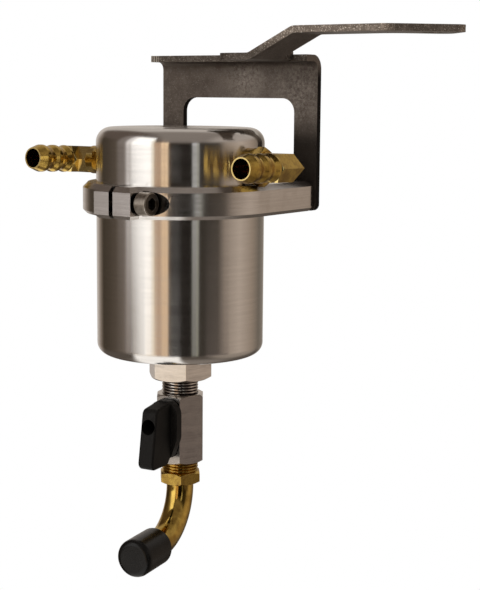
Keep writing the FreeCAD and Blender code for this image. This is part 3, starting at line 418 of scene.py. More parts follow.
can_finish, can_tree, can_coat = surface("polished_can")
can_rings = placed(can_tree, rings, {"Axis place": on_can(0, 0, 0), "Ring width": 0.0005, "Fade": 2.5})
can_wear = placed(can_tree, blotches, {"Size": 0.018, "Low": 0.45, "High": 0.75})
can_tone = stepped(can_tree, can_rings.outputs["Tone"], 0.0, 1.0, 0.93, 1.0, "LINEAR")
can_colour = blended(can_tree, 1.0, (0.80, 0.775, 0.745, 1), put(can_tree, "ShaderNodeCombineColor", None, {0: can_tone, 1: can_tone, 2: can_tone}).outputs[0], "MULTIPLY")
can_tree.links.new(can_colour, can_coat.inputs["Base Color"])
can_rough = calc(can_tree, "ADD", stepped(can_tree, can_rings.outputs["Tone"], 0.0, 1.0, 0.185, 0.145, "LINEAR"),
                 calc(can_tree, "MULTIPLY", can_wear.outputs["Mask"], 0.02))
can_tree.links.new(can_rough, can_coat.inputs["Roughness"])
can_bump = put(can_tree, "ShaderNodeBump", None, {"Height": can_rings.outputs["Height"], "Strength": 0.12, "Distance": 0.00003})
can_tree.links.new(can_bump.outputs[0], can_coat.inputs["Normal"])
can_coat.inputs["Metallic"].default_value = 1.0
can_coat.inputs["Anisotropic"].default_value = 0.93
can_coat.inputs["Anisotropic Rotation"].default_value = 0.25

upper_housing = turn("turned_upper_housing", (
    (0, 38.2, 0), (38.0, 38.2, 6.8), (38.0, 31.2, 0), (38.0, 12.0, 0), (38.0, 7.0, 0.2), (35.0, 7.0, 0.2),
    (35.0, 14.5, 0.1), (32.0, 14.5, 0.2), (32.0, 34.2, 3.0), (0, 34.2, 0)), can_finish, 192, closed=False, step=6.0)


def drilled(piece, drill):
    """cuts one shape out of another and takes the cutter away"""
    cut = piece.modifiers.new("drill", "BOOLEAN")
    cut.operation = "DIFFERENCE"
    cut.solver = "EXACT"
    cut.object = drill
    name = piece.name
    piece.name = name + "_blank"
    made = settle(piece, name)
    bpy.data.objects.remove(drill)
    return made


def round_bar(name, radius, low, high, place, steps=64):
    return turn(name, ((0, low, 0), (radius, low, 0), (radius, high, 0), (0, high, 0)), can_finish, steps, False, place)


across_can = Matrix.Translation(on_can(0, 0, 21.918)) @ Matrix.Rotation(math.radians(90), 4, "Y")
upper_housing = drilled(upper_housing, round_bar("port_drill", 6.58, -40, 40, across_can))
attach(upper_housing, "mount")
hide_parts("upper_housing")


# ---------------------------------------------------------------- Bowl
# The lower half is turned and polished like the upper. It collects the oil; its spigot carries the
# sealing ring, and its floor is bored and tapped for the drain.

bowl = turn("turned_bowl", (
    (8.33, -64.3, 0.3), (37.95, -64.3, 5.0), (37.95, 7.0, 0.2), (34.95, 7.0, 0.1), (34.95, 8.8, 0.1), (33.2, 8.8, 0.1),
    (33.2, 11.2, 0.1), (34.95, 11.2, 0.1), (34.95, 13.0, 0.3), (31.5, 13.0, 0.3), (31.5, 5.0, 0), (35.0, 3.0, 0.3),
    (35.0, -59.3, 4.0), (8.33, -59.3, 0.3)), can_finish, 192, step=6.0)
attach(bowl, "bowl")
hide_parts("bowl")


# ---------------------------------------------------------------- Sealing ring of the bowl
# A black rubber ring lies in the groove of the bowl's spigot and is squeezed by the upper housing.
# It is moulded, so a fine flash line runs round its outside.

rubber_finish, rubber_tree, rubber_coat = surface("seal_rubber")
rubber_blotch = placed(rubber_tree, blotches, {"Size": 0.003, "Low": 0.4, "High": 0.7})
rubber_tree.links.new(blended(rubber_tree, rubber_blotch.outputs["Mask"], (0.012, 0.012, 0.011, 1), (0.022, 0.021, 0.019, 1)),
                      rubber_coat.inputs["Base Color"])
rubber_tree.links.new(stepped(rubber_tree, rubber_blotch.outputs["Grain"], 0.3, 0.7, 0.42, 0.6), rubber_coat.inputs["Roughness"])
rubber_tree.links.new(put(rubber_tree, "ShaderNodeBump", None, {
    "Height": rubber_blotch.outputs["Grain"], "Strength": 0.15, "Distance": 0.00005}).outputs[0], rubber_coat.inputs["Normal"])

ring_section = []
for k in range(16):
    section_turn = 2 * math.pi * k / 16
    bulge = 0.05 if k == 0 else 0.0
    ring_section.append((34.05 + (0.85 + bulge) * math.cos(section_turn), 9.65 + 0.85 * math.sin(section_turn), 0))
bowl_seal = turn("moulded_bowl_seal", ring_section, rubber_finish, 128)
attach(bowl_seal, "bowl")
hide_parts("bowl_seal")


# ---------------------------------------------------------------- Baffle, mesh pad and their screw
# A perforated steel plate is gripped between the halves. Under it a pad of knitted steel wire makes
# the oil mist settle; a disc, a slotted screw and a nut hold the pad up against the plate.

def machined(node, name, finish, edge=0.15, sharp=30.0, cut_and_light_faces=None):
    """the solid's own shape, its faces made whole and its sharp edges broken by a small round in mm"""
    work = bmesh.new()
    work.from_mesh(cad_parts[node].data)
    bmesh.ops.remove_doubles(work, verts=work.verts, dist=2e-6)
    bmesh.ops.dissolve_degenerate(work, edges=work.edges, dist=1e-6)
    bmesh.ops.dissolve_limit(work, angle_limit=math.radians(0.4), use_dissolve_boundaries=False,
                             verts=work.verts, edges=work.edges)
    edge_mark = work.faces.layers.float.new("edge")
    cut_and_light_mark = work.faces.layers.float.new("cut")
    broken = [e for e in work.edges if len(e.link_faces) == 2 and e.calc_face_angle() > math.radians(sharp)]
    made = bmesh.ops.bevel(work, geom=broken, offset=edge / 1000, offset_type="OFFSET", segments=2, profile=0.5,
                           affect="EDGES", clamp_overlap=True)
    for face in made["faces"]:
        face[edge_mark] = 1.0
    # a mark on each face for cut edges, and for painted shade and painted highlight on faces chosen by the way they
    # face
    if cut_and_light_faces is not None:
        for face in work.faces:
            face[cut_and_light_mark] = cut_and_light_faces(face)
    bmesh.ops.triangulate(work, faces=[f for f in work.faces if len(f.verts) > 4])
    shape = bpy.data.meshes.new(name + "_raw")
    work.to_mesh(shape)
    work.free()
    shape.materials.append(finish)
    shape.shade_smooth()
    shape.set_sharp_from_angle(angle=math.radians(sharp + 6))
    worker = bpy.data.objects.new(name + "_worker", shape)
    bpy.context.scene.collection.objects.link(worker)
    even = worker.modifiers.new("even", "WEIGHTED_NORMAL")
    even.keep_sharp = True
    bpy.context.view_layer.update()
    shape = bpy.data.meshes.new_from_object(worker.evaluated_get(bpy.context.evaluated_depsgraph_get()))
    bpy.data.objects.remove(worker)
    shape.name = name
    piece = bpy.data.objects.new(name, shape)
    bpy.context.scene.collection.objects.link(piece)
    return piece


def fit(piece, body, slot, *nodes):
    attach(piece, body)
    if nodes:
        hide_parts(*nodes)
    return piece


# bright rub marks where the edges of a handled part are worn
edge_wear, edge_in, edge_out = group("edge_wear", (("Size", "NodeSocketFloat", 0.001), ("Amount", "NodeSocketFloat", 0.8)),
                                     (("Mask", "NodeSocketFloat"),))
edge_noise = put(edge_wear, "ShaderNodeTexNoise", None, {
    "Vector": put(edge_wear, "ShaderNodeTexCoord").outputs["Object"],
    "Scale": calc(edge_wear, "DIVIDE", 1.0, edge_in.outputs[0]), "Detail": 3.0})
edge_mark = put(edge_wear, "ShaderNodeAttribute", {"attribute_name": "edge"}).outputs["Fac"]
edge_wear.links.new(calc(edge_wear, "MULTIPLY", calc(edge_wear, "MULTIPLY", edge_mark, edge_in.outputs[1]),
                         stepped(edge_wear, edge_noise.outputs[0], 0.35, 0.6)), edge_out.inputs[0])

# painted shade: the colour darkens where a surface is closed in and little light reaches it
recess_shade, recess_shade_in, recess_shade_out = group("recess_shade", (("Reach", "NodeSocketFloat", 0.003), ("Open", "NodeSocketFloat", 0.75)),
                                   (("Mask", "NodeSocketFloat"),))
recess_occlusion = put(recess_shade, "ShaderNodeAmbientOcclusion", {"samples": 6}, {"Distance": recess_shade_in.outputs[0]})
recess_shade.links.new(stepped(recess_shade, recess_occlusion.outputs["AO"], 0.15, recess_shade_in.outputs[1], 1.0, 0.0), recess_shade_out.inputs[0])

steel_finish, steel_tree, steel_coat = surface("screw_steel")
# painted shade: the screws darken in their pockets, and the clamp screw's head darkens on its end
steel_recess_shade = placed(steel_tree, recess_shade, {"Reach": 0.005, "Open": 0.97})
steel_blotch = placed(steel_tree, blotches, {"Size": 0.002, "Low": 0.4, "High": 0.7})
steel_worn = placed(steel_tree, edge_wear, {"Size": 0.0008, "Amount": 0.9})
steel_base = blended(steel_tree, steel_blotch.outputs["Mask"], (0.46, 0.41, 0.35, 1), (0.32, 0.28, 0.235, 1))
steel_base = blended(steel_tree, steel_worn.outputs[0], steel_base, (0.80, 0.75, 0.68, 1))
screw_end_shade = put(steel_tree, "ShaderNodeAttribute", {"attribute_name": "cut"}).outputs["Fac"]
steel_shade = calc(steel_tree, "MAXIMUM", steel_recess_shade.outputs[0], calc(steel_tree, "MULTIPLY", screw_end_shade, 0.86))
steel_tree.links.new(blended(steel_tree, steel_shade, steel_base, (0.03, 0.026, 0.022, 1)), steel_coat.inputs["Base Color"])
steel_tree.links.new(stepped(steel_tree, steel_blotch.outputs["Grain"], 0.3, 0.7, 0.26, 0.42), steel_coat.inputs["Roughness"])
steel_tree.links.new(put(steel_tree, "ShaderNodeBump", None, {
    "Height": steel_blotch.outputs["Grain"], "Strength": 0.12, "Distance": 0.00003}).outputs[0], steel_coat.inputs["Normal"])
steel_coat.inputs["Metallic"].default_value = 1.0

inner_finish, inner_tree, inner_coat = surface("inner_plate")
inner_blotch = placed(inner_tree, blotches, {"Size": 0.006, "Low": 0.4, "High": 0.7})
inner_rings = placed(inner_tree, rings, {"Axis place": on_can(0, 0, 0), "Ring width": 0.0003, "Fade": 5.0})
inner_tree.links.new(blended(inner_tree, inner_blotch.outputs["Mask"], (0.56, 0.55, 0.53, 1), (0.47, 0.45, 0.42, 1)),
                     inner_coat.inputs["Base Color"])
inner_tree.links.new(stepped(inner_tree, inner_rings.outputs["Tone"], 0.0, 1.0, 0.30, 0.45), inner_coat.inputs["Roughness"])
inner_tree.links.new(put(inner_tree, "ShaderNodeBump", None, {
    "Height": inner_rings.outputs["Height"], "Strength": 0.1, "Distance": 0.00004}).outputs[0], inner_coat.inputs["Normal"])
inner_coat.inputs["Metallic"].default_value = 1.0

wire_finish, wire_tree, wire_coat = surface("knitted_wire")
wire_blotch = placed(wire_tree, blotches, {"Size": 0.004, "Low": 0.4, "High": 0.65})
wire_tree.links.new(blended(wire_tree, wire_blotch.outputs["Mask"], (0.62, 0.60, 0.57, 1), (0.42, 0.38, 0.32, 1)),
                    wire_coat.inputs["Base Color"])
wire_tree.links.new(stepped(wire_tree, wire_blotch.outputs["Grain"], 0.3, 0.7, 0.25, 0.4), wire_coat.inputs["Roughness"])
wire_coat.inputs["Metallic"].default_value = 1.0

fit(machined("baffle_plate", "perforated_baffle_plate", inner_finish, 0.12), "mount", "inner_metal", "baffle_plate")
fit(machined("pad_retainer", "pad_retaining_disc", inner_finish, 0.15), "mount", "inner_metal", "pad_retainer")
fit(machined("pad_screw", "slotted_pad_screw", steel_finish, 0.08), "mount", "screw_steel", "pad_screw")
fit(machined("pad_nut", "chamfered_pad_nut", steel_finish, 0.08), "mount", "screw_steel", "pad_nut")


def knitted_pad_tree():
    # crimped wire rings, laid one inside the next and in layers, each layer turned a little further
    tree = bpy.data.node_groups.new("knitted pad", "GeometryNodeTree")
    for name, kind in (("Rings", "NodeSocketInt"), ("Layers", "NodeSocketInt"), ("Inner radius", "NodeSocketFloat"),
                       ("Ring step", "NodeSocketFloat"), ("Layer step", "NodeSocketFloat"), ("Crimp", "NodeSocketFloat"),
                       ("Wire radius", "NodeSocketFloat"), ("Finish", "NodeSocketMaterial")):
        tree.interface.new_socket(name, in_out="INPUT", socket_type=kind)
    tree.interface.new_socket("Pad", in_out="OUTPUT", socket_type="NodeSocketGeometry")
    given = put(tree, "NodeGroupInput")
    hoop = put(tree, "GeometryNodeCurvePrimitiveCircle", None, {"Resolution": 72, "Radius": 1.0})
    seats = put(tree, "GeometryNodeMeshGrid", None, {"Vertices X": given.outputs["Rings"], "Vertices Y": given.outputs["Layers"]})
    index = put(tree, "GeometryNodeInputIndex").outputs[0]
    ring_number = calc(tree, "FLOOR", calc(tree, "DIVIDE", calc(tree, "ADD", index, 0.5), given.outputs["Layers"]))
    layer_number = calc(tree, "SUBTRACT", index, calc(tree, "MULTIPLY", ring_number, given.outputs["Layers"]))
    seat = put(tree, "ShaderNodeCombineXYZ", None, {2: calc(tree, "MULTIPLY", layer_number, given.outputs["Layer step"])})
    seats = put(tree, "GeometryNodeSetPosition", None, {"Geometry": seats.outputs["Mesh"], "Position": seat.outputs[0]})
    wide = calc(tree, "MULTIPLY_ADD", ring_number, given.outputs["Ring step"], given.outputs["Inner radius"])
    spread = put(tree, "ShaderNodeCombineXYZ", None, {0: wide, 1: wide, 2: 1.0})
    twist = put(tree, "ShaderNodeCombineXYZ", None, {2: calc(tree, "MULTIPLY_ADD", layer_number, 0.21, calc(tree, "MULTIPLY", ring_number, 0.37))})
    hoops = put(tree, "GeometryNodeInstanceOnPoints", None, {
        "Points": seats.outputs[0], "Instance": hoop.outputs["Curve"], "Rotation": twist.outputs[0], "Scale": spread.outputs[0]})
    real_hoops = put(tree, "GeometryNodeRealizeInstances", None, {0: hoops.outputs[0]})
    along = put(tree, "GeometryNodeSplineParameter").outputs["Index"]
    wave = calc(tree, "MULTIPLY", calc(tree, "SINE", calc(tree, "MULTIPLY", along, 2 * math.pi / 3)), given.outputs["Crimp"])
    crimped = put(tree, "GeometryNodeSetPosition", None, {
        "Geometry": real_hoops.outputs[0], "Offset": put(tree, "ShaderNodeCombineXYZ", None, {2: wave}).outputs[0]})
    wire = put(tree, "GeometryNodeCurvePrimitiveCircle", None, {"Resolution": 5, "Radius": given.outputs["Wire radius"]})
    drawn = put(tree, "GeometryNodeCurveToMesh", None, {"Curve": crimped.outputs[0], "Profile Curve": wire.outputs["Curve"]})
    real = put(tree, "GeometryNodeRealizeInstances", None, {0: drawn.outputs[0]})
    finished = put(tree, "GeometryNodeSetMaterial", None, {"Geometry": real.outputs[0], "Material": given.outputs["Finish"]})
    put(tree, "NodeGroupOutput", None, {0: finished.outputs[0]})
    return tree


knitted_pad = worked("knitted_filter_pad", bpy.data.meshes.new("pad_start"), knitted_pad_tree(), {
    "Rings": 18, "Layers": 7, "Inner radius": 0.0028, "Ring step": 0.00132, "Layer step": 0.00112, "Crimp": 0.00035,
    "Wire radius": 0.00016, "Finish": wire_finish})
knitted_pad.data.transform(Matrix.Translation(on_can(0, 0, 5.6)))
fit(knitted_pad, "mount", "mesh", "filter_pad")


# ---------------------------------------------------------------- Clamp ring
# One piece machined from aluminium plate: round at the front, square at the back, split between two
# clamp blocks. Its faces keep the level marks of the cutter.

ring_finish, ring_tree, ring_coat = surface("brushed_ring")
level_marks, level_in, level_out = group("level_marks", (("Width", "NodeSocketFloat", 0.0004), ("Length", "NodeSocketFloat", 0.02)),
                                         (("Tone", "NodeSocketFloat"), ("Height", "NodeSocketFloat")))
level_parts = put(level_marks, "ShaderNodeSeparateXYZ", None, {0: put(level_marks, "ShaderNodeTexCoord").outputs["Object"]})
level_long = calc(level_marks, "DIVIDE", 1.0, level_in.outputs[1])
level_thin = calc(level_marks, "DIVIDE", 1.0, level_in.outputs[0])
level_stretch = put(level_marks, "ShaderNodeCombineXYZ", None, {
    0: calc(level_marks, "MULTIPLY", level_parts.outputs[0], level_long), 1: calc(level_marks, "MULTIPLY", level_parts.outputs[1], level_long),
    2: calc(level_marks, "MULTIPLY", level_parts.outputs[2], level_thin)}).outputs[0]
level_broad = put(level_marks, "ShaderNodeTexNoise", None, {"Vector": level_stretch, "Scale": 0.5, "Detail": 2.0})
level_fine = put(level_marks, "ShaderNodeTexNoise", None, {"Vector": level_stretch, "Scale": 2.2, "Detail": 2.0})
level_sum = calc(level_marks, "ADD", calc(level_marks, "MULTIPLY", level_broad.outputs[0], 0.55), calc(level_marks, "MULTIPLY", level_fine.outputs[0], 0.45))
level_marks.links.new(stepped(level_marks, level_sum, 0.35, 0.65, kind="LINEAR"), level_out.inputs[0])
level_marks.links.new(level_sum, level_out.inputs[1])

ring_level = placed(ring_tree, level_marks, {"Width": 0.0006, "Length": 0.02})
ring_recess_shade = placed(ring_tree, recess_shade, {"Reach": 0.009, "Open": 0.76})
ring_worn = placed(ring_tree, edge_wear, {"Size": 0.002, "Amount": 0.9})
ring_blotch = placed(ring_tree, blotches, {"Size": 0.012, "Low": 0.45, "High": 0.7})
ring_base = blended(ring_tree, ring_level.outputs["Tone"], (0.70, 0.67, 0.645, 1), (0.80, 0.775, 0.75, 1))
ring_base = blended(ring_tree, calc(ring_tree, "MULTIPLY", ring_blotch.outputs["Mask"], 0.4), ring_base, (0.60, 0.56, 0.52, 1))
ring_base = blended(ring_tree, ring_worn.outputs[0], ring_base, (0.93, 0.91, 0.89, 1))
# painted shade: the ring darkens in its screw pocket and where it closes round the can
ring_tree.links.new(blended(ring_tree, ring_recess_shade.outputs[0], ring_base, (0.06, 0.05, 0.042, 1)), ring_coat.inputs["Base Color"])
ring_tree.links.new(stepped(ring_tree, ring_level.outputs["Tone"], 0.0, 1.0, 0.27, 0.20, "LINEAR"), ring_coat.inputs["Roughness"])
ring_tree.links.new(put(ring_tree, "ShaderNodeBump", None, {
    "Height": ring_level.outputs["Height"], "Strength": 0.16, "Distance": 0.00003}).outputs[0], ring_coat.inputs["Normal"])
ring_coat.inputs["Metallic"].default_value = 1.0
ring_coat.inputs["Anisotropic"].default_value = 0.7
ring_coat.inputs["Anisotropic Rotation"].default_value = 0.25
fit(machined("clamp_ring", "split_clamp_ring", ring_finish, 0.4), "mount", "ring_metal", "clamp_ring")


# ---------------------------------------------------------------- Clamp screw and bracket screws
# Socket-head cap screws: forged, knurled round the head and plated. One draws the clamp blocks
# together, two hold the bracket's plate to the ring from behind, each on a washer.

def shaded_screw_end(face):
    """1 on the end of the clamp screw's head, painted dark as shade in its pocket"""
    return 1.0 if face.normal.x > 0.9 else 0.0


fit(machined("clamp_screw", "clamp_cap_screw", steel_finish, 0.1, cut_and_light_faces=shaded_screw_end), "mount", "screw_steel", "clamp_screw")
fit(machined("bracket_screws", "bracket_cap_screws", steel_finish, 0.1), "mount", "screw_steel", "bracket_screws")
fit(machined("bracket_washers", "bracket_plain_washers", steel_finish, 0.12), "mount", "screw_steel", "bracket_washers")


# ---------------------------------------------------------------- Bracket
# Laser-cut from one 3 mm steel plate, then folded: upright with its window, flange, tongue, ramp and
# arm. It keeps its dark mill skin under a thin lacquer; the cut edges are speckled and, round their
# corners, marked by the cut.

def laser_cut_and_shade(face):
    """-1 on the edges of the upright plate, painted black as shade; 1 on the other cut edges, less where they turn away
    from the light, as painted shade
    """
    place = face.calc_center_median() - on_can(0, 0, 0)
    across, along = abs(face.normal.x), abs(face.normal.y)
    if abs(face.normal.z) > 0.2 and place.z > 0.066:
        return 0.0
    if place.z < 0.0655 and place.y > 0.042:
        return -1.0 if along < 0.5 else 0.0
    if across < 0.05 and place.y > 0.036 and abs(place.x) < 0.0445:
        return 0.0
    return 0.6 if abs(across - along) < 0.02 else 1.0


bracket_finish, bracket_tree, bracket_coat = surface("bracket_steel")
skin_blotch = placed(bracket_tree, blotches, {"Size": 0.012, "Low": 0.35, "High": 0.7})
skin_fine = placed(bracket_tree, blotches, {"Size": 0.0022, "Low": 0.42, "High": 0.72})
skin_speck = placed(bracket_tree, blotches, {"Size": 0.0005, "Low": 0.56, "High": 0.70})
skin_worn = placed(bracket_tree, edge_wear, {"Size": 0.0012, "Amount": 0.8})
skin_shade = placed(bracket_tree, recess_shade, {"Reach": 0.006, "Open": 0.9})
skin_far_shade = placed(bracket_tree, recess_shade, {"Reach": 0.035, "Open": 0.95})
skin_place = put(bracket_tree, "ShaderNodeSeparateXYZ", None, {0: put(bracket_tree, "ShaderNodeTexCoord").outputs["Object"]})
cut_and_light_mark = put(bracket_tree, "ShaderNodeAttribute", {"attribute_name": "cut"}).outputs["Fac"]
cut_on = stepped(bracket_tree, cut_and_light_mark, 0.0, 1.0, kind="LINEAR")
skin_base = blended(bracket_tree, skin_blotch.outputs["Mask"], (0.118, 0.095, 0.080, 1), (0.175, 0.144, 0.122, 1))
skin_base = blended(bracket_tree, calc(bracket_tree, "MULTIPLY", skin_fine.outputs["Mask"], 0.5), skin_base, (0.19, 0.16, 0.137, 1))
skin_base = blended(bracket_tree, calc(bracket_tree, "MULTIPLY", skin_speck.outputs["Mask"], 0.75), skin_base, (0.34, 0.30, 0.26, 1))
# paler, with bright pores, round the right upper corner and over the middle of the window
pale_patch = 0.0
for spot, spread in ((on_can(35.0, 43.1, 55.0), 0.024), (on_can(6.0, 43.1, 60.0), 0.018)):
    reach = put(bracket_tree, "ShaderNodeVectorMath", {"operation": "DISTANCE"}, {
        0: put(bracket_tree, "ShaderNodeTexCoord").outputs["Object"], 1: spot}).outputs["Value"]
    pale_patch = calc(bracket_tree, "MAXIMUM", pale_patch, stepped(bracket_tree, reach, spread, 0.0))
pale_patch = calc(bracket_tree, "MULTIPLY", pale_patch, calc(bracket_tree, "MULTIPLY_ADD", skin_blotch.outputs["Grain"], 4.0, -1.4))
pale_patch = calc(bracket_tree, "MULTIPLY", pale_patch, calc(bracket_tree, "MULTIPLY_ADD", skin_speck.outputs["Grain"], 2.4, -0.6))
skin_base = blended(bracket_tree, pale_patch, skin_base, (0.42, 0.37, 0.325, 1))
# the cut's upright marks, about a millimetre apart, show round three corners of the front edge
cut_run = calc(bracket_tree, "MULTIPLY_ADD", skin_place.outputs[1], -0.5, skin_place.outputs[0])
cut_run = calc(bracket_tree, "MULTIPLY_ADD", skin_fine.outputs["Grain"], 0.0006, cut_run)
cut_stripes = calc(bracket_tree, "SINE", calc(bracket_tree, "MULTIPLY", cut_run, 2 * math.pi / 0.00105))
marked = 0.0
for corner, spread in ((on_can(20.0, 13.0, 69.5), 0.006), (on_can(102.0, 8.0, 80.6), 0.005), (on_can(-42.5, 33.0, 69.5), 0.0045)):
    reach = put(bracket_tree, "ShaderNodeVectorMath", {"operation": "DISTANCE"}, {
        0: put(bracket_tree, "ShaderNodeTexCoord").outputs["Object"], 1: corner}).outputs["Value"]
    marked = calc(bracket_tree, "MAXIMUM", marked, stepped(bracket_tree, reach, spread, spread * 0.6))
cut_base = blended(bracket_tree, skin_fine.outputs["Mask"], (0.15, 0.122, 0.10, 1), (0.27, 0.225, 0.19, 1))
cut_base = blended(bracket_tree, skin_speck.outputs["Mask"], cut_base, (0.85, 0.77, 0.67, 1))
# painted light: the cut edges are darker low on the flange and lighter up on the arm
cut_height_light = stepped(bracket_tree, skin_place.outputs[2], on_can(0, 0, 71).z, on_can(0, 0, 79).z, 0.62, 1.3)
cut_height_light = put(bracket_tree, "ShaderNodeCombineColor", None, {0: cut_height_light, 1: cut_height_light, 2: cut_height_light}).outputs[0]
cut_base = blended(bracket_tree, 1.0, cut_base, cut_height_light, "MULTIPLY")
cut_base = blended(bracket_tree, calc(bracket_tree, "MULTIPLY", marked, stepped(bracket_tree, cut_stripes, -0.1, -0.7)), cut_base, (0.05, 0.042, 0.035, 1))
cut_base = blended(bracket_tree, calc(bracket_tree, "MULTIPLY", marked, stepped(bracket_tree, cut_stripes, 0.2, 0.8)), cut_base, (0.66, 0.59, 0.50, 1))
skin_base = blended(bracket_tree, cut_on, skin_base, cut_base)
skin_base = blended(bracket_tree, skin_worn.outputs[0], skin_base, (0.34, 0.295, 0.25, 1))
# painted shade: the upright edges of the plate go black below the flange
edge_side_shade = calc(bracket_tree, "MULTIPLY", stepped(bracket_tree, cut_and_light_mark, -0.1, -0.6),
                 stepped(bracket_tree, skin_place.outputs[2], on_can(0, 0, 68).z, on_can(0, 0, 60).z))
# painted shade: near black in closed-in corners, under the flange and towards the can and fittings
bracket_shade = calc(bracket_tree, "MAXIMUM", edge_side_shade, calc(bracket_tree, "MAXIMUM", skin_shade.outputs[0],
                                                         calc(bracket_tree, "MULTIPLY", skin_far_shade.outputs[0], 0.4)))
# painted shade: the front of the plate darkens towards the foot of its right leg
foot_shade = calc(bracket_tree, "MULTIPLY", stepped(bracket_tree, skin_place.outputs[1], on_can(0, 43.1, 0).y + 0.0012, on_can(0, 43.1, 0).y + 0.0004),
                 stepped(bracket_tree, skin_place.outputs[2], on_can(0, 0, 44).z, on_can(0, 0, 30).z, 0.0, 0.8))
bracket_shade = calc(bracket_tree, "MAXIMUM", bracket_shade, foot_shade)
bracket_tree.links.new(blended(bracket_tree, bracket_shade, skin_base, (0.012, 0.010, 0.009, 1)), bracket_coat.inputs["Base Color"])
skin_rough = stepped(bracket_tree, skin_fine.outputs["Grain"], 0.3, 0.7, 0.42, 0.6)
bracket_tree.links.new(calc(bracket_tree, "MULTIPLY_ADD", edge_side_shade, 0.25, skin_rough), bracket_coat.inputs["Roughness"])
bracket_tree.links.new(put(bracket_tree, "ShaderNodeBump", None, {
    "Height": calc(bracket_tree, "ADD", skin_fine.outputs["Grain"], calc(bracket_tree, "MULTIPLY", cut_on, skin_speck.outputs["Grain"])),
    "Strength": 0.35, "Distance": 0.00008}).outputs[0], bracket_coat.inputs["Normal"])
bracket_coat.inputs["Metallic"].default_value = 0.8
fit(machined("bracket", "folded_bracket", bracket_finish, 0.25, cut_and_light_faces=laser_cut_and_shade), "mount", "bracket_steel", "bracket")


# ---------------------------------------------------------------- Hose fittings
# Brass, one on each side: a round washer and a thin lock nut against the can, a drilled length of
# hexagonal bar with the port's thread, and a turned barb screwed into its front face.

def brass(name, smooth, dull, browned):
    """brass that handling and years have browned in blotches, bright where it is rubbed, with a painted highlight on
    faces marked as turned to the front
    """
    finish, tree, coat = surface(name)
    blotch = placed(tree, blotches, {"Size": 0.005, "Low": 0.4, "High": 0.68})
    fine = placed(tree, blotches, {"Size": 0.0012, "Low": 0.45, "High": 0.75})
    worn = placed(tree, edge_wear, {"Size": 0.0015, "Amount": 0.8})
    front_glint = put(tree, "ShaderNodeAttribute", {"attribute_name": "cut"}).outputs["Fac"]
    base = blended(tree, blotch.outputs["Mask"], (0.64, 0.435, 0.10, 1), (0.39, 0.245, 0.056, 1))
    base = blended(tree, calc(tree, "MULTIPLY", fine.outputs["Mask"], browned), base, (0.30, 0.168, 0.05, 1))
    # real wear on the rubbed edges, and painted highlight on the faces marked as turned to the front
    base = blended(tree, calc(tree, "MAXIMUM", worn.outputs[0], calc(tree, "MULTIPLY", front_glint, 0.75)), base, (0.93, 0.73, 0.31, 1))
    tree.links.new(base, coat.inputs["Base Color"])
    tree.links.new(stepped(tree, fine.outputs["Grain"], 0.3, 0.7, smooth, dull), coat.inputs["Roughness"])
    tree.links.new(put(tree, "ShaderNodeBump", None, {
        "Height": fine.outputs["Grain"], "Strength": 0.15, "Distance": 0.00004}).outputs[0], coat.inputs["Normal"])
    coat.inputs["Metallic"].default_value = 1.0
    return finish


def front_chamfer_glint(face):
    """1 on a chamfer that faces half forwards, which gets a painted highlight"""
    return 1.0 if 0.5 < -face.normal.y < 0.9 else 0.0


brass_finish = brass("aged_brass", 0.12, 0.22, 0.6)
for side in ("right", "left"):
    fit(machined(side + "_port_washer", side + "_round_washer", brass_finish, 0.12), "mount", "brass", side + "_port_washer")
    fit(machined(side + "_port_nut", side + "_lock_nut", brass_finish, 0.12), "mount", "brass", side + "_port_nut")
    fit(machined(side + "_elbow", side + "_drilled_elbow", brass_finish, 0.15, cut_and_light_faces=front_chamfer_glint), "mount", "brass", side + "_elbow")


def hose_barb(side, x, lift):
    corners = [(4.1, 0.4, 0), (4.32, 0, 0), (4.9, 0, 0)]
    for crest in (5.5, 13.5):
        corners += [(6.25, crest - 1.4, 0.9), (6.3, crest + 0.5, 0.5), (5.35, crest + 3.3, 0.8), (5.35, crest + 4.4, 0.8)]
    corners += [(6.3, 20.35, 0.5), (6.3, 21.35, 0.2), (6.05, 21.6, 0), (4.9, 21.6, 0), (4.9, 30.8, 0), (4.1, 30.8, 0)]
    lay = (Matrix.Translation(on_can(0, 0, 21.918)) @ Matrix.Rotation(math.radians(-lift), 4, "X")
           @ Matrix.Translation(Vector((x / 1000, -0.0308, 0))) @ Matrix.Rotation(math.radians(-90), 4, "X"))
    made = turn(side + "_turned_barb", corners, brass_finish, 72, place=lay)
    # painted highlight on the barb's end face, which looks straight forwards
    front_glint = made.data.attributes.new("cut", "FLOAT", "FACE")
    for face in made.data.polygons:
        front_glint.data[face.index].value = 1.0 if face.normal.y < -0.95 else 0.0
    return made


fit(hose_barb("right", 54.8, 1.4), "mount", "brass", "right_barb")
fit(hose_barb("left", -61.8, 2.6), "mount", "brass", "left_barb")


# ---------------------------------------------------------------- Drain bung and its seal
# A large hexagon of nickel-plated brass under the bowl. One thread goes up through the floor onto a
# flat rubber ring, the other goes down into the ball valve, and part of it shows between them.

nickel_finish, nickel_tree, nickel_coat = surface("satin_nickel")
nickel_blotch = placed(nickel_tree, blotches, {"Size": 0.005, "Low": 0.4, "High": 0.7})
nickel_fine = placed(nickel_tree, blotches, {"Size": 0.001, "Low": 0.45, "High": 0.75})
nickel_level = placed(nickel_tree, level_marks, {"Width": 0.0009, "Length": 0.015})
nickel_recess_shade = placed(nickel_tree, recess_shade, {"Reach": 0.0016, "Open": 0.85})
nickel_worn = placed(nickel_tree, edge_wear, {"Size": 0.0015, "Amount": 0.8})
nickel_base = blended(nickel_tree, nickel_blotch.outputs["Mask"], (0.66, 0.62, 0.58, 1), (0.54, 0.50, 0.47, 1))
nickel_base = blended(nickel_tree, nickel_level.outputs["Tone"], nickel_base, (0.76, 0.71, 0.66, 1))
nickel_base = blended(nickel_tree, nickel_worn.outputs[0], nickel_base, (0.90, 0.87, 0.83, 1))
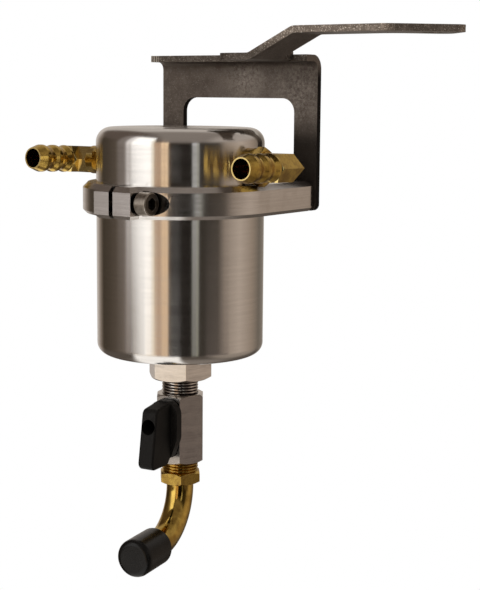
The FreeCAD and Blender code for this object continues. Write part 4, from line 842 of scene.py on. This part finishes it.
# painted shade: the thread roots and closed-in corners darken
nickel_tree.links.new(blended(nickel_tree, nickel_recess_shade.outputs[0], nickel_base, (0.05, 0.043, 0.037, 1)), nickel_coat.inputs["Base Color"])
nickel_tree.links.new(stepped(nickel_tree, nickel_fine.outputs["Grain"], 0.3, 0.7, 0.15, 0.25), nickel_coat.inputs["Roughness"])
nickel_tree.links.new(put(nickel_tree, "ShaderNodeBump", None, {
    "Height": nickel_level.outputs["Height"], "Strength": 0.15, "Distance": 0.00004}).outputs[0], nickel_coat.inputs["Normal"])
nickel_coat.inputs["Metallic"].default_value = 1.0


def thread_tree():
    # a ridge with a rounded crest runs round and down the bar
    tree = bpy.data.node_groups.new("screw thread", "GeometryNodeTree")
    for name, kind in (("Crest radius", "NodeSocketFloat"), ("Root radius", "NodeSocketFloat"), ("Pitch", "NodeSocketFloat"),
                       ("Length", "NodeSocketFloat"), ("Steps a turn", "NodeSocketInt"), ("Finish", "NodeSocketMaterial")):
        tree.interface.new_socket(name, in_out="INPUT", socket_type=kind)
    tree.interface.new_socket("Thread", in_out="OUTPUT", socket_type="NodeSocketGeometry")
    given = put(tree, "NodeGroupInput")
    rows = calc(tree, "FLOOR", calc(tree, "DIVIDE", calc(tree, "MULTIPLY", given.outputs["Length"], 12.0), given.outputs["Pitch"]))
    columns = calc(tree, "ADD", given.outputs["Steps a turn"], 1.0)
    grid = put(tree, "GeometryNodeMeshGrid", None, {"Vertices X": calc(tree, "ADD", rows, 1.0), "Vertices Y": columns})
    index = put(tree, "GeometryNodeInputIndex").outputs[0]
    row = calc(tree, "FLOOR", calc(tree, "DIVIDE", calc(tree, "ADD", index, 0.5), columns))
    column = calc(tree, "SUBTRACT", index, calc(tree, "MULTIPLY", row, columns))
    part = calc(tree, "DIVIDE", column, given.outputs["Steps a turn"])
    along = calc(tree, "DIVIDE", row, rows)
    height = calc(tree, "MULTIPLY", along, given.outputs["Length"])
    phase = calc(tree, "ADD", calc(tree, "DIVIDE", height, given.outputs["Pitch"]), part)
    wave = calc(tree, "ABSOLUTE", calc(tree, "MULTIPLY_ADD", calc(tree, "FRACT", phase), 2.0, -1.0))
    flank = stepped(tree, wave, 0.34, 0.9, 1.0, 0.0, "LINEAR")
    depth = calc(tree, "SUBTRACT", given.outputs["Crest radius"], given.outputs["Root radius"])
    radius = calc(tree, "MULTIPLY_ADD", flank, depth, given.outputs["Root radius"])
    turn_angle = calc(tree, "MULTIPLY", part, 2 * math.pi)
    spot = put(tree, "ShaderNodeCombineXYZ", None, {
        0: calc(tree, "MULTIPLY", radius, calc(tree, "COSINE", turn_angle)),
        1: calc(tree, "MULTIPLY", radius, calc(tree, "SINE", turn_angle)), 2: height})
    wound = put(tree, "GeometryNodeSetPosition", None, {"Geometry": grid.outputs["Mesh"], "Position": spot.outputs[0]})
    closed = put(tree, "GeometryNodeMergeByDistance", None, {"Geometry": wound.outputs[0], "Distance": 2e-6})
    real = put(tree, "GeometryNodeRealizeInstances", None, {0: closed.outputs[0]})
    finished = put(tree, "GeometryNodeSetMaterial", None, {"Geometry": real.outputs[0], "Material": given.outputs["Finish"]})
    put(tree, "NodeGroupOutput", None, {0: finished.outputs[0]})
    return tree


screw_thread = thread_tree()


def threaded_bar(name, low, high, finish, root=7.35, crest=8.33, pitch=1.34):
    made = worked(name, bpy.data.meshes.new(name + "_start"), screw_thread, {
        "Crest radius": crest / 1000, "Root radius": root / 1000, "Pitch": pitch / 1000, "Length": (high - low) / 1000,
        "Steps a turn": 72, "Finish": finish})
    made.data.transform(Matrix.Translation(on_can(0, 0, low)))
    return made


def waisted(piece, radius, narrow, low, high):
    """draws the plain bar of a copied solid in to a thread's root, between two heights"""
    middle = on_can(0, 0, 0)
    for vertex in piece.data.vertices:
        out = Vector((vertex.co.x - middle.x, vertex.co.y - middle.y))
        z = (vertex.co.z - middle.z) * 1000
        if abs(out.length * 1000 - radius) < 0.3 and low <= z <= high:
            out = out.normalized() * narrow / 1000
            vertex.co.x, vertex.co.y = middle.x + out.x, middle.y + out.y
    return piece


bung = waisted(machined("drain_bung", "hexagon_drain_bung", nickel_finish, 0.18), 8.33, 7.3, -90, -58)
fit(bung, "bowl", "nickel", "drain_bung")
fit(threaded_bar("bung_lower_thread", -87.3, -76.7, nickel_finish), "bowl", "nickel")
fit(threaded_bar("bung_upper_thread", -65.2, -59.4, nickel_finish), "bowl", "nickel")
fit(machined("bung_seal", "flat_bung_seal", rubber_finish, 0.12), "bowl", "seal_rubber", "bung_seal")


# ---------------------------------------------------------------- Ball valve
# A hexagonal nickel-plated body holds a chromed ball between two plastic seats, a threaded ring keeps
# them in, and a brass stem with its seal and gland turns the ball from the front.

seat_finish, seat_tree, seat_coat = surface("seat_plastic")
seat_blotch = placed(seat_tree, blotches, {"Size": 0.003, "Low": 0.4, "High": 0.7})
seat_tree.links.new(blended(seat_tree, seat_blotch.outputs["Mask"], (0.80, 0.79, 0.76, 1), (0.72, 0.70, 0.65, 1)), seat_coat.inputs["Base Color"])
seat_tree.links.new(stepped(seat_tree, seat_blotch.outputs["Grain"], 0.3, 0.7, 0.35, 0.5), seat_coat.inputs["Roughness"])
chrome_finish, chrome_tree, chrome_coat = surface("chromed_ball")
chrome_blotch = placed(chrome_tree, blotches, {"Size": 0.003, "Low": 0.5, "High": 0.8})
chrome_tree.links.new(blended(chrome_tree, chrome_blotch.outputs["Mask"], (0.78, 0.78, 0.79, 1), (0.62, 0.62, 0.64, 1)), chrome_coat.inputs["Base Color"])
chrome_tree.links.new(stepped(chrome_tree, chrome_blotch.outputs["Grain"], 0.3, 0.7, 0.08, 0.16), chrome_coat.inputs["Roughness"])
chrome_coat.inputs["Metallic"].default_value = 1.0

fit(machined("valve_body", "hexagon_valve_body", nickel_finish, 0.2), "bowl", "nickel", "valve_body")
fit(machined("valve_seats", "ball_seats", seat_finish, 0.1), "bowl", "seat_plastic", "valve_seats")
fit(machined("valve_insert", "seat_keeper_ring", brass_finish, 0.15), "bowl", "brass", "valve_insert")
fit(machined("stem_seal", "stem_seal_ring", seat_finish, 0.1), "bowl", "seat_plastic", "stem_seal")
fit(machined("stem_gland", "stem_gland_ring", brass_finish, 0.12), "bowl", "brass", "stem_gland")
fit(machined("valve_ball", "drilled_valve_ball", chrome_finish, 0.1), "lever", "ball_chrome", "valve_ball")
fit(machined("valve_stem", "square_valve_stem", brass_finish, 0.1), "lever", "brass", "valve_stem")


# ---------------------------------------------------------------- Valve lever and its screw
# Moulded black plastic: a shield-shaped plate against the valve and a flat wing to turn it by. A
# cross-slotted screw in a round recess holds it on the stem's square.

plastic_finish, plastic_tree, plastic_coat = surface("lever_plastic")
plastic_blotch = placed(plastic_tree, blotches, {"Size": 0.006, "Low": 0.4, "High": 0.7})
plastic_fine = placed(plastic_tree, blotches, {"Size": 0.0009, "Low": 0.4, "High": 0.75})
plastic_worn = placed(plastic_tree, edge_wear, {"Size": 0.002, "Amount": 0.5})
plastic_base = blended(plastic_tree, plastic_blotch.outputs["Mask"], (0.0035, 0.003, 0.0026, 1), (0.006, 0.0054, 0.0046, 1))
plastic_tree.links.new(blended(plastic_tree, plastic_worn.outputs[0], plastic_base, (0.016, 0.014, 0.012, 1)), plastic_coat.inputs["Base Color"])
plastic_tree.links.new(stepped(plastic_tree, plastic_fine.outputs["Grain"], 0.3, 0.7, 0.46, 0.62), plastic_coat.inputs["Roughness"])
plastic_coat.inputs["Specular IOR Level"].default_value = 0.22
plastic_tree.links.new(put(plastic_tree, "ShaderNodeBump", None, {
    "Height": plastic_fine.outputs["Grain"], "Strength": 0.25, "Distance": 0.00005}).outputs[0], plastic_coat.inputs["Normal"])
fit(machined("lever", "moulded_lever", plastic_finish, 0.35), "lever", "lever_plastic", "lever")
fit(machined("lever_screw", "lever_pan_screw", steel_finish, 0.06), "lever", "screw_steel", "lever_screw")


# ---------------------------------------------------------------- Drain tail, bent tube and cap
# The brass tail screws into the valve; a brass tube is soldered into its hexagon and bent forwards,
# and a black rubber cap is pushed over the tube's end.

tail = waisted(machined("drain_tail", "hexagon_drain_tail", brass_finish, 0.18), 8.33, 7.3, -121, -105)
fit(tail, "bowl", "brass", "drain_tail")
fit(threaded_bar("tail_thread", -120.4, -106.1, brass_finish), "bowl", "brass")
fit(machined("drain_tube", "bent_drain_tube", brass("drawn_brass", 0.07, 0.13, 0.25), 0.15), "bowl", "brass", "drain_tube")

cap_finish, cap_tree, cap_coat = surface("cap_rubber")
cap_blotch = placed(cap_tree, blotches, {"Size": 0.006, "Low": 0.4, "High": 0.7})
cap_fine = placed(cap_tree, blotches, {"Size": 0.0035, "Low": 0.45, "High": 0.75})
cap_tree.links.new(blended(cap_tree, cap_blotch.outputs["Mask"], (0.0025, 0.0022, 0.002, 1), (0.005, 0.0046, 0.0042, 1)), cap_coat.inputs["Base Color"])
cap_tree.links.new(stepped(cap_tree, cap_fine.outputs["Grain"], 0.3, 0.7, 0.16, 0.3), cap_coat.inputs["Roughness"])
cap_coat.inputs["Specular IOR Level"].default_value = 0.26
cap_tree.links.new(put(cap_tree, "ShaderNodeBump", None, {
    "Height": cap_fine.outputs["Grain"], "Strength": 0.3, "Distance": 0.00015}).outputs[0], cap_coat.inputs["Normal"])
fit(machined("drain_cap", "rubber_drain_cap", cap_finish, 0.2), "cap", "cap_rubber", "drain_cap")
